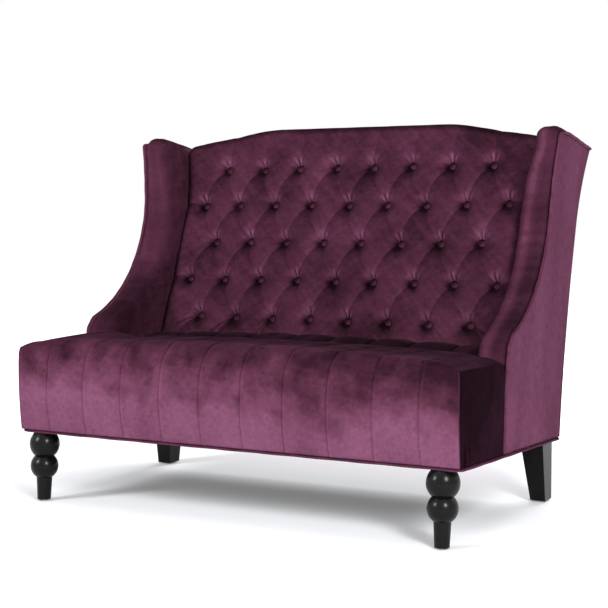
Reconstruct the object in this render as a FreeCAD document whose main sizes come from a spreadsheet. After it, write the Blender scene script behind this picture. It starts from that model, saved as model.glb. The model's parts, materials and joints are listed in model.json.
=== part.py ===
import FreeCAD, Part
import math
import os
import re
import Sketcher
from FreeCAD import Vector

# High back settee: a hardwood and plywood frame with a button-tufted back, a tight
# pleated seat, two padded wings, turned front legs and tapered rear legs.
# X runs across (left is -X seen from the front), Y runs back, Z up, floor at Z = 0.
#
# The upholstered body slopes back by seat_pitch. Inside that sloping frame a place is
# given as x (across), u (back from the front welt) and w (up from the body's lower edge).
# The back leans further by back_rake, and there a place is x, n (back from the frame's
# front face) and s (up the slope from the body's lower edge).

SIZES = [
    ("seat_pitch", 2.0, "backward slope of the whole body, degrees"),
    ("base_height", 181, "floor to the body's lower edge at the front"),
    ("front_plane_y", -427.6, "front welt plane from the middle of the settee"),
    ("clearance", 0.3, "gap left between soft pieces and what they meet"),
    ("seat_half", 620, "side of the seat block from the middle"),
    ("side_cover", 8, "cover and padding outside a side rail"),
    # seat frame
    ("frame_front", 15, "front face of the front rail"),
    ("frame_rear", 684, "rear face of the base rail"),
    ("rail_thickness", 24, "thickness of the seat rails"),
    ("rail_height", 116, "height of front, side and spring rails"),
    ("base_rail_height", 80, "height of the base rail behind"),
    ("spring_rail_front", 548, "front face of the rail that the springs end on"),
    ("stretcher_width", 40, "width of the centre stretcher"),
    ("stretcher_height", 60, "height of the centre stretcher"),
    ("corner_block_side", 62, "side of a corner block"),
    ("corner_block_height", 50, "height of a corner block"),
    # springs and deck
    ("spring_wire", 3.8, "diameter of the spring wire"),
    ("spring_count", 9, "number of springs"),
    ("spring_loop", 62, "width of a spring's zigzag"),
    ("spring_step", 29.6, "rough distance between cross runs of a spring"),
    ("clip_length", 26, "length of a spring clip"),
    ("clip_width", 14, "width of a spring clip"),
    ("clip_height", 5.2, "height of a spring clip"),
    ("deck_lift", 4.2, "underside of the deck cloth above the rails"),
    ("deck_thickness", 1.4, "thickness of the deck cloth"),
    # seat
    ("seat_side_foot", 180, "height at which the roll at each end starts"),
    ("seat_side_radius", 62, "radius of the roll at each end"),
    ("seat_crown", 256, "top of the seat in the middle"),
    ("seat_crown_radius", 11120, "radius of the seat's crown from side to side"),
    ("seat_block_rear", 271, "rear end of the full-width block in front of the wings"),
    ("seat_foot_u", -3, "front of the seat at its lower edge"),
    ("seat_face_radius", 330, "radius of the crowned front face"),
    ("seat_bulge_u", -19, "front of the seat at the foot of its roll"),
    ("seat_roll_foot", 184, "height at which the front roll starts"),
    ("seat_roll_radius", 88, "radius of the front roll"),
    ("seat_roll_end", 74, "distance back at which the front roll ends"),
    ("seat_button_u", 372, "row of seat buttons behind the front"),
    ("seat_button_count", 8, "number of seat buttons"),
    ("seat_pit_depth", 26, "depth of a button pit in the seat"),
    # wings
    ("wing_width", 84, "width of a wing at its foot"),
    ("wing_inner_flare", 35, "how far the inner face flares outwards"),
    ("wing_lean", 6, "how far the outer face leans out up to its flare"),
    ("wing_flare", 17, "how far the outer face flares above that"),
    ("shoulder_step", 22, "shoulder's lower end in front of the sweep's start"),
    ("shoulder_drop", 28, "shoulder's lower end below the sweep's start"),
    ("peak_step", 8, "front top corner behind the sweep's end"),
    ("crest_length", 52, "length of the crest behind its rounded corner"),
    ("wing_inner_kink", 560, "height at which the inner face starts to flare"),
    ("wing_inner_end", 775, "height at which the inner flare ends"),
    ("wing_inner_radius", 680, "radius of the inner flare"),
    ("wing_outer_kink", 560, "height at which the outer face starts to flare"),
    ("wing_outer_end", 790, "height at which the outer flare ends"),
    ("wing_outer_radius", 1400, "radius of the outer flare"),
    ("wing_front", 272, "front of a wing at its foot"),
    ("wing_front_w", 187, "height at which the front starts to lean back"),
    ("sweep_center_u", 175, "centre of the arm sweep"),
    ("sweep_center_w", 660, "height of the arm sweep's centre"),
    ("sweep_radius", 390, "radius of the arm sweep"),
    ("sweep_start", 19.5, "where the arm sweep starts, degrees from straight down"),
    ("wing_peak_w", 796, "height of the pad's front top corner"),
    ("wing_crest_radius", 30, "rounding of the pad's front top corner"),
    ("wing_crest", 826, "height of a wing pad's crest"),
    ("wing_tail_u", 850, "rear end of the pad's top"),
    ("wing_tail_w", 794, "height of the pad's top at the rear"),
    ("panel_peak_w", 788, "height of the outer panel's front top corner"),
    ("panel_hip_u", 723, "highest point of the outer panel"),
    ("panel_hip_w", 804, "height of the outer panel there"),
    ("panel_tail_u", 850, "rear end of the outer panel's top"),
    ("panel_tail_w", 779, "height of the outer panel's top at the rear"),
    ("panel_tail_radius", 330, "rounding of the outer panel's top behind"),
    ("core_inset", 26, "padding in front of and above the plywood core"),
    ("core_thickness", 18, "thickness of the plywood wing cores"),
    ("panel_thickness", 3, "thickness of velvet panels"),
    ("welt_width", 8, "width of the piping"),
    ("welt_proud", 2, "how far the piping stands out of a panel"),
    # back
    ("back_rake", 19.35, "lean of the back against the body, degrees"),
    ("back_foot", 479, "back frame's front face at the body's lower edge"),
    ("back_crest", 887, "top of the back up the slope, in the middle"),
    ("top_flat_share", 0.4226, "share of the half width at which the top is level"),
    ("top_ogee_share", 0.5645, "share of the half width where the rounding ends"),
    ("back_end_reach", 21, "end of the top's slope outside the seat's side"),
    ("back_ogee_s", 877, "height up the slope at that point"),
    ("back_end_s", 826, "height up the slope at that end"),
    ("cushion_depth", 60, "front of the back cushion before the frame"),
    ("cushion_skin", 3, "thickness of the back cover"),
    ("cushion_bottom", 203, "lower edge of the back cushion up the slope"),
    ("cushion_round", 24, "rounding of the cushion's top front edge"),
    ("tuft_rise", 114.1, "distance between rows up the slope"),
    ("tuft_first", 306.8, "lowest row of buttons up the slope"),
    ("tuft_rows", 5, "number of button rows"),
    ("tuft_across", 8, "buttons in the odd rows; the rows between hold one more"),
    ("pit_mouth", 30, "radius of a button pit at the surface"),
    ("pit_depth", 34, "depth of a button pit in the back"),
    ("button_radius", 10, "radius of a covered button"),
    ("button_height", 6, "height of a covered button"),
    ("tie_radius", 1.2, "radius of a button tie"),
    ("webbing_thickness", 1.8, "thickness of the back webbing"),
    ("webbing_width", 50, "width of a webbing strap"),
    ("lining_thickness", 1.2, "thickness of the back lining"),
    ("post_thickness", 24, "thickness of the back posts"),
    ("post_top", 826, "top of the back posts up the slope"),
    ("back_rail_thickness", 24, "thickness of the back rails"),
    ("lower_rail_s", 205, "lower edge of the lower back rail up the slope"),
    ("lower_rail_width", 60, "width of the lower back rail"),
    ("top_rail_s", 774, "lower edge of the top rails up the slope"),
    ("top_padding", 16, "padding and cover above the top rails"),
    ("outer_rail_n", 46, "front face of the outer top rail"),
    ("upright_place", 1.75, "middle of a back upright, in button pitches from the middle"),
    ("upright_width", 46, "width of a back upright"),
    ("rear_foot", 694, "outside back at the lower edge"),
    ("rear_top_u", 856, "outside back at the height rear_top_w"),
    ("rear_top_w", 836, "height at which that is measured"),
    ("rear_radius", 3111, "radius of the outside back's hollow curve"),
    # legs
    ("front_leg_u", 27, "front leg behind the front welt"),
    ("front_foot_radius", 17, "radius of a front leg's foot"),
    ("front_waist_radius", 20.5, "radius at the top of the front leg's taper"),
    ("front_waist_up", 62, "height of the taper's top"),
    ("lower_ball_curve", 36, "curve of the lower turned ball"),
    ("neck_radius", 25, "radius of the neck between the balls"),
    ("neck_up", 118, "height of the neck"),
    ("upper_ball_curve", 42, "curve of the upper turned ball"),
    ("front_top_radius", 26, "radius of a front leg's top"),
    ("rear_leg_rear", 664, "rear face of a rear leg behind the front welt"),
    ("rear_top_width", 64, "width of a rear leg at its top"),
    ("rear_top_depth", 78, "depth of a rear leg at its top"),
    ("rear_foot_width", 41, "width of a rear leg at its foot"),
    ("rear_foot_depth", 50, "depth of a rear leg at its foot"),
    ("front_leg_inset", 53, "front leg in from the seat's side"),
    ("rear_leg_inset", 11, "outer face of a rear leg in from the seat's side"),
    ("rear_bolt_inset", 39, "rear hanger bolt in from the leg's outer face"),
    ("rear_bolt_front", 32, "rear hanger bolt in front of the leg's rear face"),
    ("glide_radius", 9, "radius of a floor glide"),
    ("glide_height", 4, "height of a floor glide"),
    ("bolt_radius", 4, "radius of a hanger bolt"),
    ("bolt_in_leg", 32, "length of a hanger bolt inside the leg"),
    ("bolt_in_frame", 40, "length of a hanger bolt inside the frame"),
    ("dust_cover_thickness", 1, "thickness of the dust cover"),
]

doc = FreeCAD.newDocument("settee")
sheet = doc.addObject("Spreadsheet::Sheet", "Sizes")
for row, (alias, value, note) in enumerate(SIZES, start=1):
    sheet.set("A" + str(row), note)
    sheet.set("B" + str(row), str(value))
    sheet.setAlias("B" + str(row), alias)
doc.recompute()

ALIASES = {alias for alias, value, note in SIZES}

# Sizes that follow from the ones in the sheet.
DERIVED = {
    "frame_half": "seat_half - side_cover",
    "wing_inner": "seat_half - wing_width",
    "wing_inner_top": "wing_inner + wing_inner_flare",
    "wing_outer": "seat_half",
    "wing_outer_mid": "seat_half + wing_lean",
    "wing_outer_top": "wing_outer_mid + wing_flare",
    "wing_shoulder_u": "sweep_center_u + sweep_radius * sin(sweep_start) - shoulder_step",
    "wing_shoulder_w": "sweep_center_w - sweep_radius * cos(sweep_start) - shoulder_drop",
    "wing_peak_u": "sweep_center_u + sweep_radius + peak_step",
    "wing_crest_rear": "wing_peak_u + wing_crest_radius + crest_length",
    "back_end_x": "seat_half + back_end_reach",
    "back_flat_half": "seat_half * top_flat_share",
    "back_ogee_x": "seat_half * top_ogee_share",
    "back_ogee_radius": "((back_ogee_x - back_flat_half) ^ 2 + (back_crest - back_ogee_s) ^ 2)"
                        " / (2 * (back_crest - back_ogee_s))",
    "tuft_pitch": "wing_inner * 2 / (tuft_across + 1)",
    "seat_button_pitch": "wing_inner * 2 / (seat_button_count + 1)",
    "spring_pitch": "(frame_half - rail_thickness) * 2 / (spring_count + 1)",
    "upright_x": "tuft_pitch * upright_place",
    "front_leg_x": "seat_half - front_leg_inset",
    "rear_leg_x": "seat_half - rear_leg_inset",
    "rear_bolt_x": "rear_leg_x - rear_bolt_inset",
    "rear_bolt_u": "rear_leg_rear - rear_bolt_front",
}
SIDES = (("left", -1), ("right", 1))
FAR = "(2 * seat_half)"
nodes = []


def spelled(expression):
    """Expression with each derived size written out in sizes of the sheet."""
    def written(match):
        word = match.group()
        return "(" + spelled(DERIVED[word]) + ")" if word in DERIVED else word
    return re.sub(r"[a-z][a-z0-9_]*", written, str(expression))


def bound(expression):
    """Expression in size names, turned into one that other objects can be bound to."""
    def prefix(match):
        word = match.group()
        return "Sizes." + word if word in ALIASES else word
    return re.sub(r"[a-z][a-z0-9_]*", prefix, spelled(expression))


def size(expression):
    """Present value of an expression in size names."""
    return sheet.evalExpression(spelled(expression))


def number(expression):
    return float(size(expression))


def node(piece, label):
    """Name a finished piece and list it for writing."""
    piece.Label = label
    nodes.append(piece)
    return piece


def body_frame(x="0", u="0", w="0"):
    """Placement of a point in the sloping body frame."""
    y = f"front_plane_y + ({u}) * cos(seat_pitch) + ({w}) * sin(seat_pitch)"
    z = f"base_height - ({u}) * sin(seat_pitch) + ({w}) * cos(seat_pitch)"
    return f"placement(vector({x}; {y}; {z}); rotation(vector(-1; 0; 0); seat_pitch))"


def back_frame(x="0", n="0", s="0", turn="0"):
    """Placement of a point in the leaning frame of the back, turned further about X."""
    lean = "(seat_pitch + back_rake)"
    foot_y = "front_plane_y + back_foot * cos(seat_pitch)"
    foot_z = "base_height - back_foot * sin(seat_pitch)"
    y = f"{foot_y} + ({n}) * cos({lean}) + ({s}) * sin({lean})"
    z = f"{foot_z} - ({n}) * sin({lean}) + ({s}) * cos({lean})"
    return f"placement(vector({x}; {y}; {z}); rotation(vector(-1; 0; 0); {lean} + {turn}))"


def world_frame(x="0", y="0", z="0", turn="0"):
    return f"placement(vector({x}; {y}; {z}); rotation(vector(1; 0; 0); {turn}))"


def place(piece, frame):
    piece.setExpression("Placement", bound(frame))
    return piece


def block(name, across, back, up, frame=body_frame):
    """Straight bar given by its limits (low, high) along the frame's three axes."""
    piece = doc.addObject("Part::Box", name)
    for side, (low, high) in zip(("Length", "Width", "Height"), (across, back, up)):
        piece.setExpression(side, bound(f"({high}) - ({low})"))
    return place(piece, frame(across[0], back[0], up[0]))


def cylinder(name, radius, height, frame):
    """Round bar along the frame's up axis."""
    piece = doc.addObject("Part::Cylinder", name)
    piece.setExpression("Radius", bound(radius))
    piece.setExpression("Height", bound(height))
    return place(piece, frame)


def cone(name, radius_low, radius_high, height, frame):
    piece = doc.addObject("Part::Cone", name)
    piece.setExpression("Radius1", bound(radius_low))
    piece.setExpression("Radius2", bound(radius_high))
    piece.setExpression("Height", bound(height))
    return place(piece, frame)


def dome(name, radius, height, frame):
    """Half of an ellipsoid, flat side down."""
    piece = doc.addObject("Part::Ellipsoid", name)
    piece.Angle1 = 0
    piece.setExpression("Radius1", bound(height))
    piece.setExpression("Radius2", bound(radius))
    return place(piece, frame)


def cut(name, base, *tools):
    """Base with each tool taken away in turn."""
    for index, tool in enumerate(tools):
        piece = doc.addObject("Part::Cut", f"{name}_cut_{index}")
        piece.Base = base
        piece.Tool = tool
        base = piece
    return base


def common(name, *shapes):
    piece = doc.addObject("Part::MultiCommon", name)
    piece.Shapes = list(shapes)
    return piece


def group(name, shapes):
    piece = doc.addObject("Part::Compound", name)
    piece.Links = list(shapes)
    return piece


def pair(near, far, side):
    """Limits across of a piece between two distances from the middle, on one side."""
    if side > 0:
        return (near, far)
    return (f"-({far})", f"-({near})")


def spread(count, pitch):
    """Places across of a row of things that is centred on the middle."""
    return [f"({2 * index - count + 1} / 2 * {pitch})" for index in range(int(count))]


def arc_through(start, end, radius, side):
    """Short arc between two points; side is +1 when its centre lies to the left."""
    chord = end - start
    left = Vector(-chord.y, chord.x, 0).normalize()
    rise = math.sqrt(radius ** 2 - (chord.Length / 2) ** 2)
    middle = (start + end) * 0.5 + left * (side * (rise - radius))
    return Part.Arc(start, middle, end)


def outline_sketch(body, name, plane, outline, offset):
    """Closed sketch whose corners are bound to the sheet.

    A corner (a, b) is reached from the corner before it by a straight edge. A corner
    (a, b, radius, side) is reached by an arc.
    """
    sketch = body.newObject("Sketcher::SketchObject", name)
    support = [item for item in body.Origin.OriginFeatures if item.Role == plane][0]
    sketch.AttachmentSupport = [(support, "")]
    sketch.MapMode = "FlatFace"
    sketch.setExpression("AttachmentOffset.Base.z", bound(offset))
    corners = [Vector(number(corner[0]), number(corner[1]), 0) for corner in outline]
    count = len(outline)
    for index in range(count):
        start = corners[index]
        follower = (index + 1) % count
        end = corners[follower]
        if len(outline[follower]) == 4:
            radius, side = outline[follower][2:]
            sketch.addGeometry(arc_through(start, end, number(radius), side))
        else:
            sketch.addGeometry(Part.LineSegment(start, end))
    starts = []
    for index in range(count):
        misses = [(sketch.getPoint(index, end) - corners[index]).Length for end in (1, 2)]
        starts.append(1 if misses[0] <= misses[1] else 2)
    for index in range(count):
        follower = (index + 1) % count
        finish = 3 - starts[index]
        joint = Sketcher.Constraint("Coincident", index, finish, follower, starts[follower])
        sketch.addConstraint(joint)
    for index, corner in enumerate(outline):
        for kind, value in (("DistanceX", corner[0]), ("DistanceY", corner[1])):
            rule = Sketcher.Constraint(kind, -1, 1, index, starts[index], number(value))
            place_rule(sketch, rule, value)
    for index in range(count):
        target = outline[(index + 1) % count]
        if len(target) == 4:
            rule = Sketcher.Constraint("Radius", index, number(target[2]))
            place_rule(sketch, rule, target[2])
    return sketch


def place_rule(sketch, rule, value):
    """Add a constraint and bind it to the sheet."""
    index = sketch.addConstraint(rule)
    sketch.setExpression(f"Constraints[{index}]", bound(value))


def prism(name, plane, outline, start, length, frame, rounded=None):
    """Outline padded from start along the axis that its plane leaves free.

    rounded is (radius, test): edges that pass the test get that fillet.
    """
    body = doc.addObject("PartDesign::Body", name)
    backward = plane == "XZ_Plane"
    offset = f"-({start})" if backward else start
    sketch = outline_sketch(body, name + "_outline", plane, outline, offset)
    pad = body.newObject("PartDesign::Pad", name + "_pad")
    pad.Profile = sketch
    pad.setExpression("Length", bound(length))
    pad.Reversed = backward
    if rounded:
        doc.recompute()
        radius, test = rounded
        edges = pad.Shape.Edges
        names = [f"Edge{index + 1}" for index, edge in enumerate(edges) if test(edge)]
        fillet = body.newObject("PartDesign::Fillet", name + "_fillet")
        fillet.Base = (pad, names)
        fillet.setExpression("Radius", bound(radius))
        body.Tip = fillet
    return place(body, frame)


def turned(name, outline, frame):
    """Outline (radius, height) turned once round the frame's up axis."""
    body = doc.addObject("PartDesign::Body", name)
    sketch = outline_sketch(body, name + "_outline", "XZ_Plane", outline, "0")
    turn = body.newObject("PartDesign::Revolution", name + "_turned")
    turn.Profile = sketch
    turn.ReferenceAxis = (sketch, ["V_Axis"])
    turn.Angle = 360
    return place(body, frame)


def above(name, low):
    """Everything above a height of the body frame."""
    return block(name, (f"-{FAR}", FAR), (f"-{FAR}", f"2 * {FAR}"), (low, FAR))


def mirrored(face):
    return [(f"-({corner[0]})", corner[1], *flipped(corner[2:])) for corner in face]


def flipped(arc):
    return (arc[0], -arc[1]) if arc else ()


def backwards(face):
    """The same face travelled the other way, arcs kept."""
    result = []
    for index in range(len(face) - 1, -1, -1):
        arc = face[index + 1][2:] if index + 1 < len(face) else ()
        result.append((face[index][0], face[index][1], *flipped(arc)))
    return result


SECTION_LOW = "-20"
SECTION_HIGH = "(wing_crest + 60)"


def inner_face(gap="0"):
    """Inner face of the right wing, upwards, moved towards the middle by the gap."""
    return [
        (f"wing_inner - {gap}", SECTION_LOW),
        (f"wing_inner - {gap}", "wing_inner_kink"),
        (f"wing_inner_top - {gap}", "wing_inner_end", "wing_inner_radius", -1),
        (f"wing_inner_top + 2 - {gap}", SECTION_HIGH),
    ]


def outer_face(proud="0"):
    """Outer face of the right wing, upwards, moved outwards."""
    return [
        (f"wing_outer + {proud}", SECTION_LOW),
        (f"wing_outer_mid + {proud}", "wing_outer_kink"),
        (f"wing_outer_top + {proud}", "wing_outer_end", "wing_outer_radius", -1),
        (f"wing_outer_top + 5 + {proud}", SECTION_HIGH),
    ]


def flat_face(x):
    return [(x, SECTION_LOW), (x, SECTION_HIGH)]


def slab_between(name, near, far, side):
    """What lies between two faces on one side, all the way from front to rear."""
    if side < 0:
        near = mirrored(near)
        far = mirrored(far)
    outline = near + backwards(far)
    return prism(name, "XZ_Plane", outline, f"-{FAR}", f"3 * {FAR}", body_frame())


def between_wings(name, gap):
    """Room between the two wings."""
    outline = inner_face(gap) + backwards(mirrored(inner_face(gap)))
    return prism(name, "XZ_Plane", outline, f"-{FAR}", f"3 * {FAR}", body_frame())


def before_outside_back(name, gap):
    """Everything in front of the outside back's surface moved forward by the gap."""
    outline = [
        (f"-{FAR}", "0"),
        (f"-{FAR}", "rear_top_w"),
        (f"rear_top_u - {gap}", "rear_top_w"),
        (f"rear_foot - {gap}", "0", "rear_radius", 1),
    ]
    return prism(name, "YZ_Plane", outline, f"-{FAR}", f"2 * {FAR}", body_frame())


HEM = "(welt_width + clearance)"
BACKING = "(panel_thickness + clearance)"


def wing_front_edge(inset, low):
    """Front edge of a wing upwards, from its foot to the end of the arm sweep."""
    reach = f"(sweep_radius + {inset})"
    return [
        (f"wing_front + {inset}", low),
        (f"wing_front + {inset}", "wing_front_w"),
        (f"wing_shoulder_u + 0.9 * {inset}", f"wing_shoulder_w - 0.4 * {inset}"),
        (f"sweep_center_u + {reach} * sin(sweep_start)",
         f"sweep_center_w - {reach} * cos(sweep_start)"),
        (f"sweep_center_u + {reach}", "sweep_center_w", reach, 1),
    ]


def wing_pad_profile(name):
    outline = wing_front_edge("0", SECTION_LOW) + [
        ("wing_peak_u", "wing_peak_w"),
        ("wing_peak_u + wing_crest_radius", "wing_crest", "wing_crest_radius", -1),
        ("wing_crest_rear", "wing_crest"),
        ("wing_tail_u", "wing_tail_w"),
        (f"wing_tail_u + {FAR}", "wing_tail_w"),
        (f"wing_tail_u + {FAR}", SECTION_LOW),
    ]
    return prism(name, "YZ_Plane", outline, f"-{FAR}", f"2 * {FAR}", body_frame())


def wing_panel_profile(name, inset, low):
    outline = wing_front_edge(inset, low) + [
        (f"wing_peak_u + {inset}", f"panel_peak_w - {inset}"),
        ("panel_hip_u", f"panel_hip_w - {inset}"),
        ("panel_tail_u", f"panel_tail_w - {inset}", "panel_tail_radius", -1),
        (f"panel_tail_u + {FAR}", f"panel_tail_w - {inset}"),
        (f"panel_tail_u + {FAR}", low),
    ]
    return prism(name, "YZ_Plane", outline, f"-{FAR}", f"2 * {FAR}", body_frame())


def camel_top(name, low, drop, start, length, rounded=None):
    """Slab in the back frame below the camel-shaped top, lowered by the drop."""
    right = [
        ("back_end_x", low),
        ("back_end_x", f"back_end_s - {drop}"),
        ("back_ogee_x", f"back_ogee_s - {drop}"),
        ("back_flat_half", f"back_crest - {drop}", "back_ogee_radius", 1),
    ]
    outline = right + backwards(mirrored(right))
    return prism(name, "XZ_Plane", outline, start, length, back_frame(), rounded)


# Hanger bolts, used by the frame and by the legs


def bolt_frame(side, rear, up):
    """Axis of the bolt that holds a leg."""
    if rear:
        return body_frame(f"{side} * rear_bolt_x", "rear_bolt_u", up)
    return body_frame(f"{side} * front_leg_x", "front_leg_u", up)


def bolt_hole(name, side, rear):
    reach = "(bolt_in_leg + bolt_in_frame + 2)"
    return cylinder(name, "bolt_radius + clearance", reach,
                    bolt_frame(side, rear, "-(bolt_in_leg + 1)"))


INSIDE = "(frame_half - rail_thickness)"
FRONT_RAIL_REAR = "(frame_front + rail_thickness)"
BASE_RAIL_FRONT = "(frame_rear - rail_thickness)"
SPRING_RAIL_REAR = "(spring_rail_front + rail_thickness)"


def seat_frame():
    up = ("0", "rail_height")
    rail = block("FrontRail", ("-frame_half", "frame_half"), ("frame_front", FRONT_RAIL_REAR), up)
    holes = [bolt_hole("FrontHole_" + name, side, False) for name, side in SIDES]
    node(cut("FrontRail", rail, *holes), "front_seat_rail")
    across = (f"-{INSIDE}", INSIDE)
    node(block("SpringRail", across, ("spring_rail_front", SPRING_RAIL_REAR), up),
         "rear_spring_rail")
    node(block("BaseRail", across, (BASE_RAIL_FRONT, "frame_rear"), ("0", "base_rail_height")),
         "rear_base_rail")
    node(block("Stretcher", ("-stretcher_width / 2", "stretcher_width / 2"),
               (FRONT_RAIL_REAR, "spring_rail_front"), ("0", "stretcher_height")),
         "centre_stretcher")
    blocks = []
    for name, side in SIDES:
        across = pair(INSIDE, "frame_half", side)
        node(block("SideRail_" + name, across, (FRONT_RAIL_REAR, "frame_rear"), up),
             "side_seat_rail_" + name)
        across = pair(f"{INSIDE} - corner_block_side", INSIDE, side)
        height = ("0", "corner_block_height")
        front = (FRONT_RAIL_REAR, f"{FRONT_RAIL_REAR} + corner_block_side")
        rear = (f"{BASE_RAIL_FRONT} - corner_block_side", BASE_RAIL_FRONT)
        blocks.append(block("FrontBlock_" + name, across, front, height))
        rear_block = block("RearBlock_" + name, across, rear, height)
        hole = bolt_hole("RearHole_" + name, side, True)
        blocks.append(cut("RearBlock_" + name, rear_block, hole))
    node(group("CornerBlocks", blocks), "corner_blocks")


def wing_and_back_frame():
    above_rails = above("AboveRails", "rail_height")
    rear_room = before_outside_back("PostRearRoom", BACKING)
    core_rear_room = before_outside_back("CoreRearRoom", BACKING)
    for name, side in SIDES:
        across = pair("frame_half - core_thickness - post_thickness",
                      "frame_half - core_thickness", side)
        post = block("PostBlank_" + name, across, ("0", FAR), (f"-{FAR}", "post_top"), back_frame)
        node(common("Post_" + name, post, above_rails, rear_room), "back_post_" + name)
        across = pair("frame_half - core_thickness", "frame_half", side)
        sheet_room = block("CoreSheet_" + name, across, ("0", FAR), ("rail_height", FAR))
        profile = wing_panel_profile("CoreProfile_" + name, "core_inset", SECTION_LOW)
        node(common("Core_" + name, profile, sheet_room, core_rear_room), "wing_core_" + name)
    reach = "(frame_half - core_thickness - post_thickness)"
    across = (f"-{reach}", reach)
    lower_top = "(lower_rail_s + lower_rail_width)"
    node(block("LowerRail", across, ("0", "back_rail_thickness"), ("lower_rail_s", lower_top),
               back_frame), "lower_back_rail")
    for name, label, front in (("TopRail", "top_back_rail", "0"),
                               ("OuterRail", "outer_top_rail", "outer_rail_n")):
        camel = camel_top(name + "Camel", "top_rail_s", "top_padding", front,
                          "back_rail_thickness")
        limit = block(name + "Limit", across, (f"-{FAR}", FAR), ("0", FAR), back_frame)
        room = before_outside_back(name + "RearRoom", BACKING)
        node(common(name, camel, limit, room), label)
    uprights = []
    for name, side in SIDES:
        limits = pair("upright_x - upright_width / 2", "upright_x + upright_width / 2", side)
        uprights.append(block("Upright_" + name, limits, ("0", "back_rail_thickness"),
                              (lower_top, "top_rail_s"), back_frame))
    node(group("Uprights", uprights), "back_uprights")


def spring_shape():
    """One sinuous spring, running back from the middle of the front rail."""
    first = number("frame_front + rail_thickness / 2")
    last = number("spring_rail_front + rail_thickness / 2")
    runs = int(round((last - first) / number("spring_step")))
    step = (last - first) / runs
    reach = number("spring_loop") / 2 - step / 2
    edges = []
    for run in range(runs + 1):
        side = 1 if run % 2 == 0 else -1
        u = first + run * step
        start = Vector(-side * reach, u, 0)
        end = Vector(side * reach, u, 0)
        edges.append(Part.LineSegment(start, end).toShape())
        if run < runs:
            bend = Vector(side * (reach + step / 2), u + step / 2, 0)
            turn_end = Vector(side * reach, u + step, 0)
            edges.append(Part.Arc(end, bend, turn_end).toShape())
    ring = Part.Wire(Part.makeCircle(number("spring_wire / 2"), Vector(-reach, first, 0),
                                     Vector(1, 0, 0)))
    return Part.Wire(edges).makePipeShell([ring], True, False)


WIRE_LIFT = "(rail_height + spring_wire / 2 + 0.1)"


def suspension():
    places = spread(number("spring_count"), "spring_pitch")
    one = spring_shape()
    springs = []
    for x in places:
        spring = one.copy()
        spring.translate(Vector(number(x), 0, 0))
        springs.append(spring)
    piece = doc.addObject("Part::Feature", "Springs")
    piece.Shape = Part.makeCompound(springs)
    place(piece, body_frame("0", "0", WIRE_LIFT))
    node(piece, "seat_springs")

    clips = []
    for index, x in enumerate(places):
        for end, u in (("front", "(frame_front + rail_thickness / 2)"),
                       ("rear", "(spring_rail_front + rail_thickness / 2)")):
            name = f"Clip_{index}_{end}"
            plate = block(name, (f"{x} - clip_length / 2", f"{x} + clip_length / 2"),
                          (f"{u} - clip_width / 2", f"{u} + clip_width / 2"),
                          ("rail_height", "rail_height + clip_height"))
            channel = doc.addObject("Part::Cylinder", name + "_channel")
            channel.setExpression("Radius", bound("spring_wire / 2 + 0.1"))
            channel.setExpression("Height", bound("clip_length + 2"))
            start = body_frame(f"{x} - clip_length / 2 - 1", u, WIRE_LIFT)
            along = start.replace("rotation(vector(-1; 0; 0); seat_pitch)",
                                  "rotation(vector(0; 1; 0); 90)")
            place(channel, along)
            slot = block(name + "_slot",
                         (f"{x} - clip_length / 2 - 1", f"{x} + clip_length / 2 + 1"),
                         (f"{u} - spring_wire / 2 - 0.1", f"{u} + spring_wire / 2 + 0.1"),
                         ("rail_height - 1", WIRE_LIFT))
            clips.append(cut(name, plate, channel, slot))
    node(group("Clips", clips), "spring_clips")

    deck_low = "(rail_height + deck_lift)"
    node(block("Deck", (f"-({INSIDE} - 2)", f"{INSIDE} - 2"),
               (f"{FRONT_RAIL_REAR} + 1", "spring_rail_front - 1"),
               (deck_low, f"{deck_low} + deck_thickness")), "seat_deck")


def tuft_places():
    """Places (x, s) of the back buttons; the rows between hold one more."""
    places = []
    for row in range(int(number("tuft_rows"))):
        count = int(number("tuft_across")) + row % 2
        up = f"(tuft_first + {row} * tuft_rise)"
        places.extend((x, up) for x in spread(count, "tuft_pitch"))
    return places


def back_pits(name, grow):
    """Conical button pits of the back, grown all round."""
    cones = []
    for index, (x, s) in enumerate(tuft_places()):
        frame = back_frame(x, "-cushion_depth", s, "90")
        cones.append(cone(f"{name}_{index}", f"pit_mouth + {grow}",
                          f"button_radius + 0.5 + {grow}", f"pit_depth + {grow}", frame))
    return group(name, cones)


PIT_FLOOR = "(pit_depth - cushion_depth)"


def back_tie_bars(name, radius, start, end):
    bars = []
    for index, (x, s) in enumerate(tuft_places()):
        frame = back_frame(x, start, s, "90")
        bars.append(cylinder(f"{name}_{index}", radius, f"({end}) - ({start})", frame))
    return group(name, bars)


STRAP_BACK = "(2 * webbing_thickness + clearance)"
LINING_FRONT = f"({STRAP_BACK} + lining_thickness + clearance)"


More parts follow.
